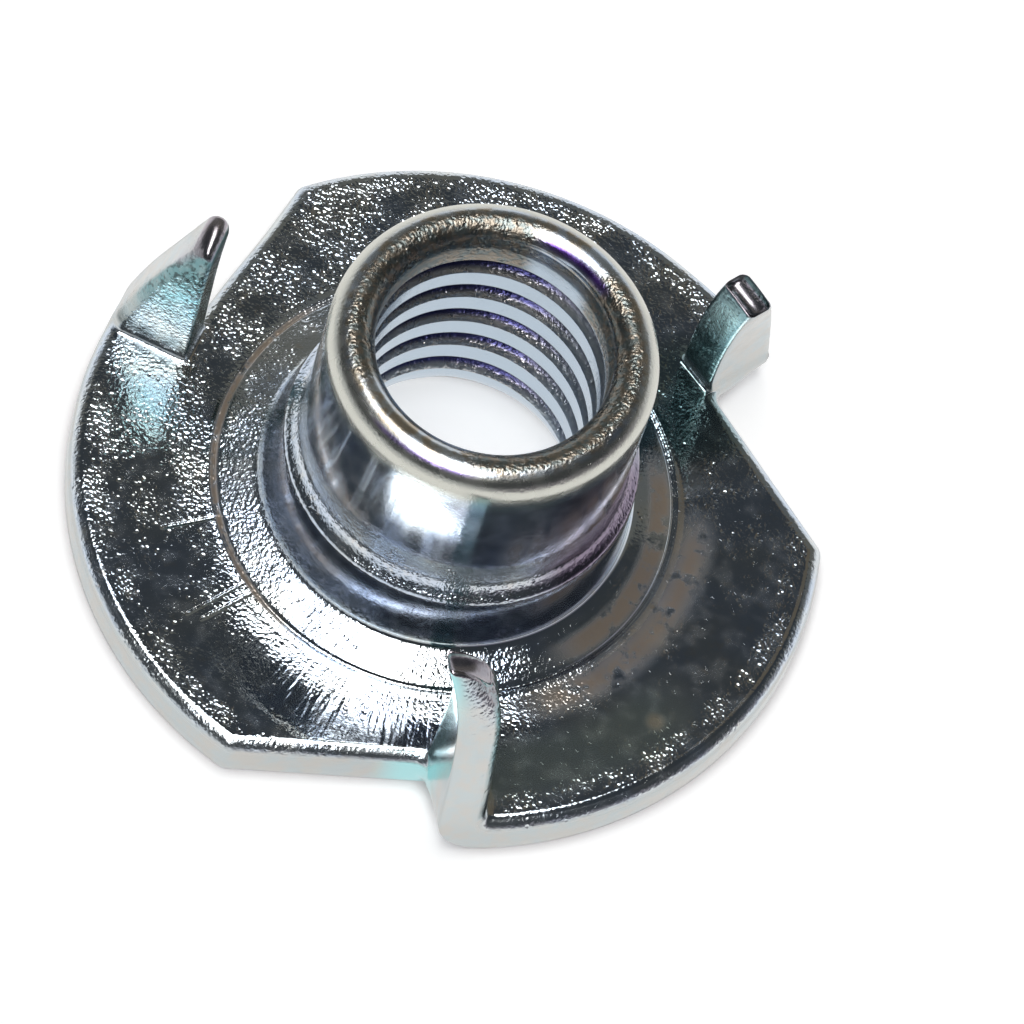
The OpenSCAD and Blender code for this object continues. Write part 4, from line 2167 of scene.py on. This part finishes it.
@dataclass(frozen=True)
class Floor:
    """The white floor. The camera sees it matt, with the nut's shadow and a painted contact shade from
    ambient occlusion; every other ray sees it as a plain glow, dimmed near the nut as a painted shadow.
    """

    size: float = 1.2
    colour: Colour = (0.8, 0.8, 0.8)
    glow: float = 0.5
    # painted shadow: the glow seen in reflections is dimmed near the nut
    reflected_shadow_glow: Span = Span(0.010, 0.015, 0.84, 1.0)
    contact: float = 0.5
    contact_samples: int = 3
    # colour of the painted contact shade close to the nut
    contact_shadow_colour: Colour = (0.42, 0.36, 0.36)
    contact_shade: Span = Span(0.2, 0.85)
    contact_glow: Span = Span(0.2, 0.85, 0.4, 1.0)

    def material(self) -> bpy.types.Material:
        """Makes the floor's material.

        Returns:
            The new material.
        """
        mat = bpy.data.materials.new("white_floor")
        mat.use_nodes = True
        tree = mat.node_tree
        graph = Graph(tree)
        tree.nodes.remove(tree.nodes["Principled BSDF"])
        matt = graph.node("ShaderNodeBsdfDiffuse")
        # painted contact shade: ambient occlusion darkens the floor's colour and glow close to the nut
        close = graph.node("ShaderNodeAmbientOcclusion", samples=self.contact_samples)
        close.inputs["Distance"].default_value = self.contact * MM
        clear = graph.ease(close.outputs["AO"], self.contact_shade)
        graph.put(graph.mix(clear, rgba(self.contact_shadow_colour), rgba(self.colour)), matt.inputs["Color"])
        glow = graph.node("ShaderNodeEmission")
        lit = graph.ease(close.outputs["AO"], self.contact_glow)
        graph.put(graph.every(lit, self.glow), glow.inputs["Strength"])
        seen = graph.node("ShaderNodeAddShader")
        graph.put(matt.outputs[0], seen.inputs[0])
        graph.put(glow.outputs[0], seen.inputs[1])
        x, y, _ = graph.split(graph.node("ShaderNodeTexCoord").outputs["Object"])
        reach = graph.math(Op.SQUARE_ROOT, graph.sum(graph.every(x, x), graph.every(y, y)))
        # painted shadow: this glow is dimmed near the nut, by distance from its axis
        plain = graph.node("ShaderNodeEmission")
        graph.put(graph.ease(reach, self.reflected_shadow_glow), plain.inputs["Strength"])
        pick = graph.node("ShaderNodeMixShader")
        graph.put(graph.node("ShaderNodeLightPath").outputs["Is Camera Ray"], pick.inputs[0])
        graph.put(plain.outputs[0], pick.inputs[1])
        graph.put(seen.outputs[0], pick.inputs[2])
        graph.put(pick.outputs[0], tree.nodes["Material Output"].inputs["Surface"])
        return mat

    def build(self) -> bpy.types.Object:
        """Makes the floor.

        Returns:
            The floor.
        """
        mesh = bpy.data.meshes.new("floor")
        h = self.size / 2
        mesh.from_pydata([(-h, -h, 0), (h, -h, 0), (h, h, 0), (-h, h, 0)], [], [(0, 1, 2, 3)])
        floor = bpy.data.objects.new("floor", mesh)
        bpy.context.scene.collection.objects.link(floor)
        mesh.materials.append(self.material())
        return floor


@dataclass(frozen=True)
class Room:
    """The room: a big soft box overhead, pale low down and dim between."""

    least_up: float = 0.01
    box_strength: float = 5.0
    box_light: Colour = WHITE
    box_left: Span = Span(-0.36, -0.26)
    box_right: Span = Span(0.144, 0.156, 1.0, 0.0)
    box_front: Span = Span(-0.62, -0.58)
    box_back: Span = Span(0.377, 0.393, 1.0, 0.0)
    dim: Colour = (0.035, 0.04, 0.045)
    beyond: Colour = (0.12, 0.12, 0.11)
    beyond_away: Span = Span(0.64, 0.74)
    brown: Colour = (0.12, 0.10, 0.075)
    brown_across: Band = Band(0.10, 0.44, 0.03)
    brown_away: Band = Band(0.45, 0.80, 0.04)
    low_z: Span = Span(0.24, 0.36, 1.0, 0.0)
    side_x: Span = Span(0.05, 0.6)
    left: Colour = (0.60, 0.62, 0.64)
    right: Colour = (0.20, 0.19, 0.22)
    far_y: Span = Span(0.2, 0.6)
    far: Colour = (0.8, 0.82, 0.85)

    def build(self) -> bpy.types.World:
        """Makes the room.

        Returns:
            The world.
        """
        world = bpy.data.worlds.new("dim_room")
        world.use_nodes = True
        graph = Graph(world.node_tree)
        x, y, z = graph.split(graph.node("ShaderNodeTexCoord").outputs["Generated"])
        up = graph.math(Op.MAXIMUM, z, self.least_up)
        across = graph.math(Op.DIVIDE, x, up)
        away = graph.math(Op.DIVIDE, y, up)
        box = graph.every(
            graph.ease(across, self.box_left),
            graph.ease(across, self.box_right),
            graph.ease(away, self.box_front),
            graph.ease(away, self.box_back),
        )
        brown = graph.every(graph.band(across, self.brown_across), graph.band(away, self.brown_away))
        low = graph.ease(z, self.low_z)
        light = graph.mix(graph.ease(away, self.beyond_away), rgba(self.dim), rgba(self.beyond))
        light = graph.mix(brown, light, rgba(self.brown))
        side = graph.mix(graph.ease(x, self.side_x), rgba(self.left), rgba(self.right))
        light = graph.mix(low, light, side)
        light = graph.mix(graph.every(low, graph.ease(y, self.far_y)), light, rgba(self.far))
        light = graph.mix(box, light, rgba(self.box_light))
        back = world.node_tree.nodes["Background"]
        graph.put(light, back.inputs["Color"])
        strength = graph.math(Op.MAXIMUM, graph.every(box, self.box_strength), 1.0)
        graph.put(strength, back.inputs["Strength"])
        return world


@dataclass
class Studio:
    """The floor and the room round the nut."""

    floor: Floor = Floor()
    room: Room = Room()

    def build(self) -> None:
        """Makes the floor, the world and the view settings."""
        scene = bpy.context.scene
        scene.view_settings.view_transform = "Standard"
        scene.world = self.room.build()
        self.floor.build()


def main() -> None:
    """Builds the nut, dresses it, and sets the studio round it."""
    logging.basicConfig(level=logging.INFO)
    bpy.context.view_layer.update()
    nut = TeeNut().build()
    nut.data.materials.append(ZincFinish().material())
    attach(nut, ROOT_BODY)
    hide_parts(CAD_NODE)
    LOG.info("nut built: %d points, %d faces", len(nut.data.vertices), len(nut.data.polygons))
    Studio().build()
    LOG.info("studio built")
    Viewpoint().build()
    LOG.info("camera built")


if __name__ == "__main__":
    main()
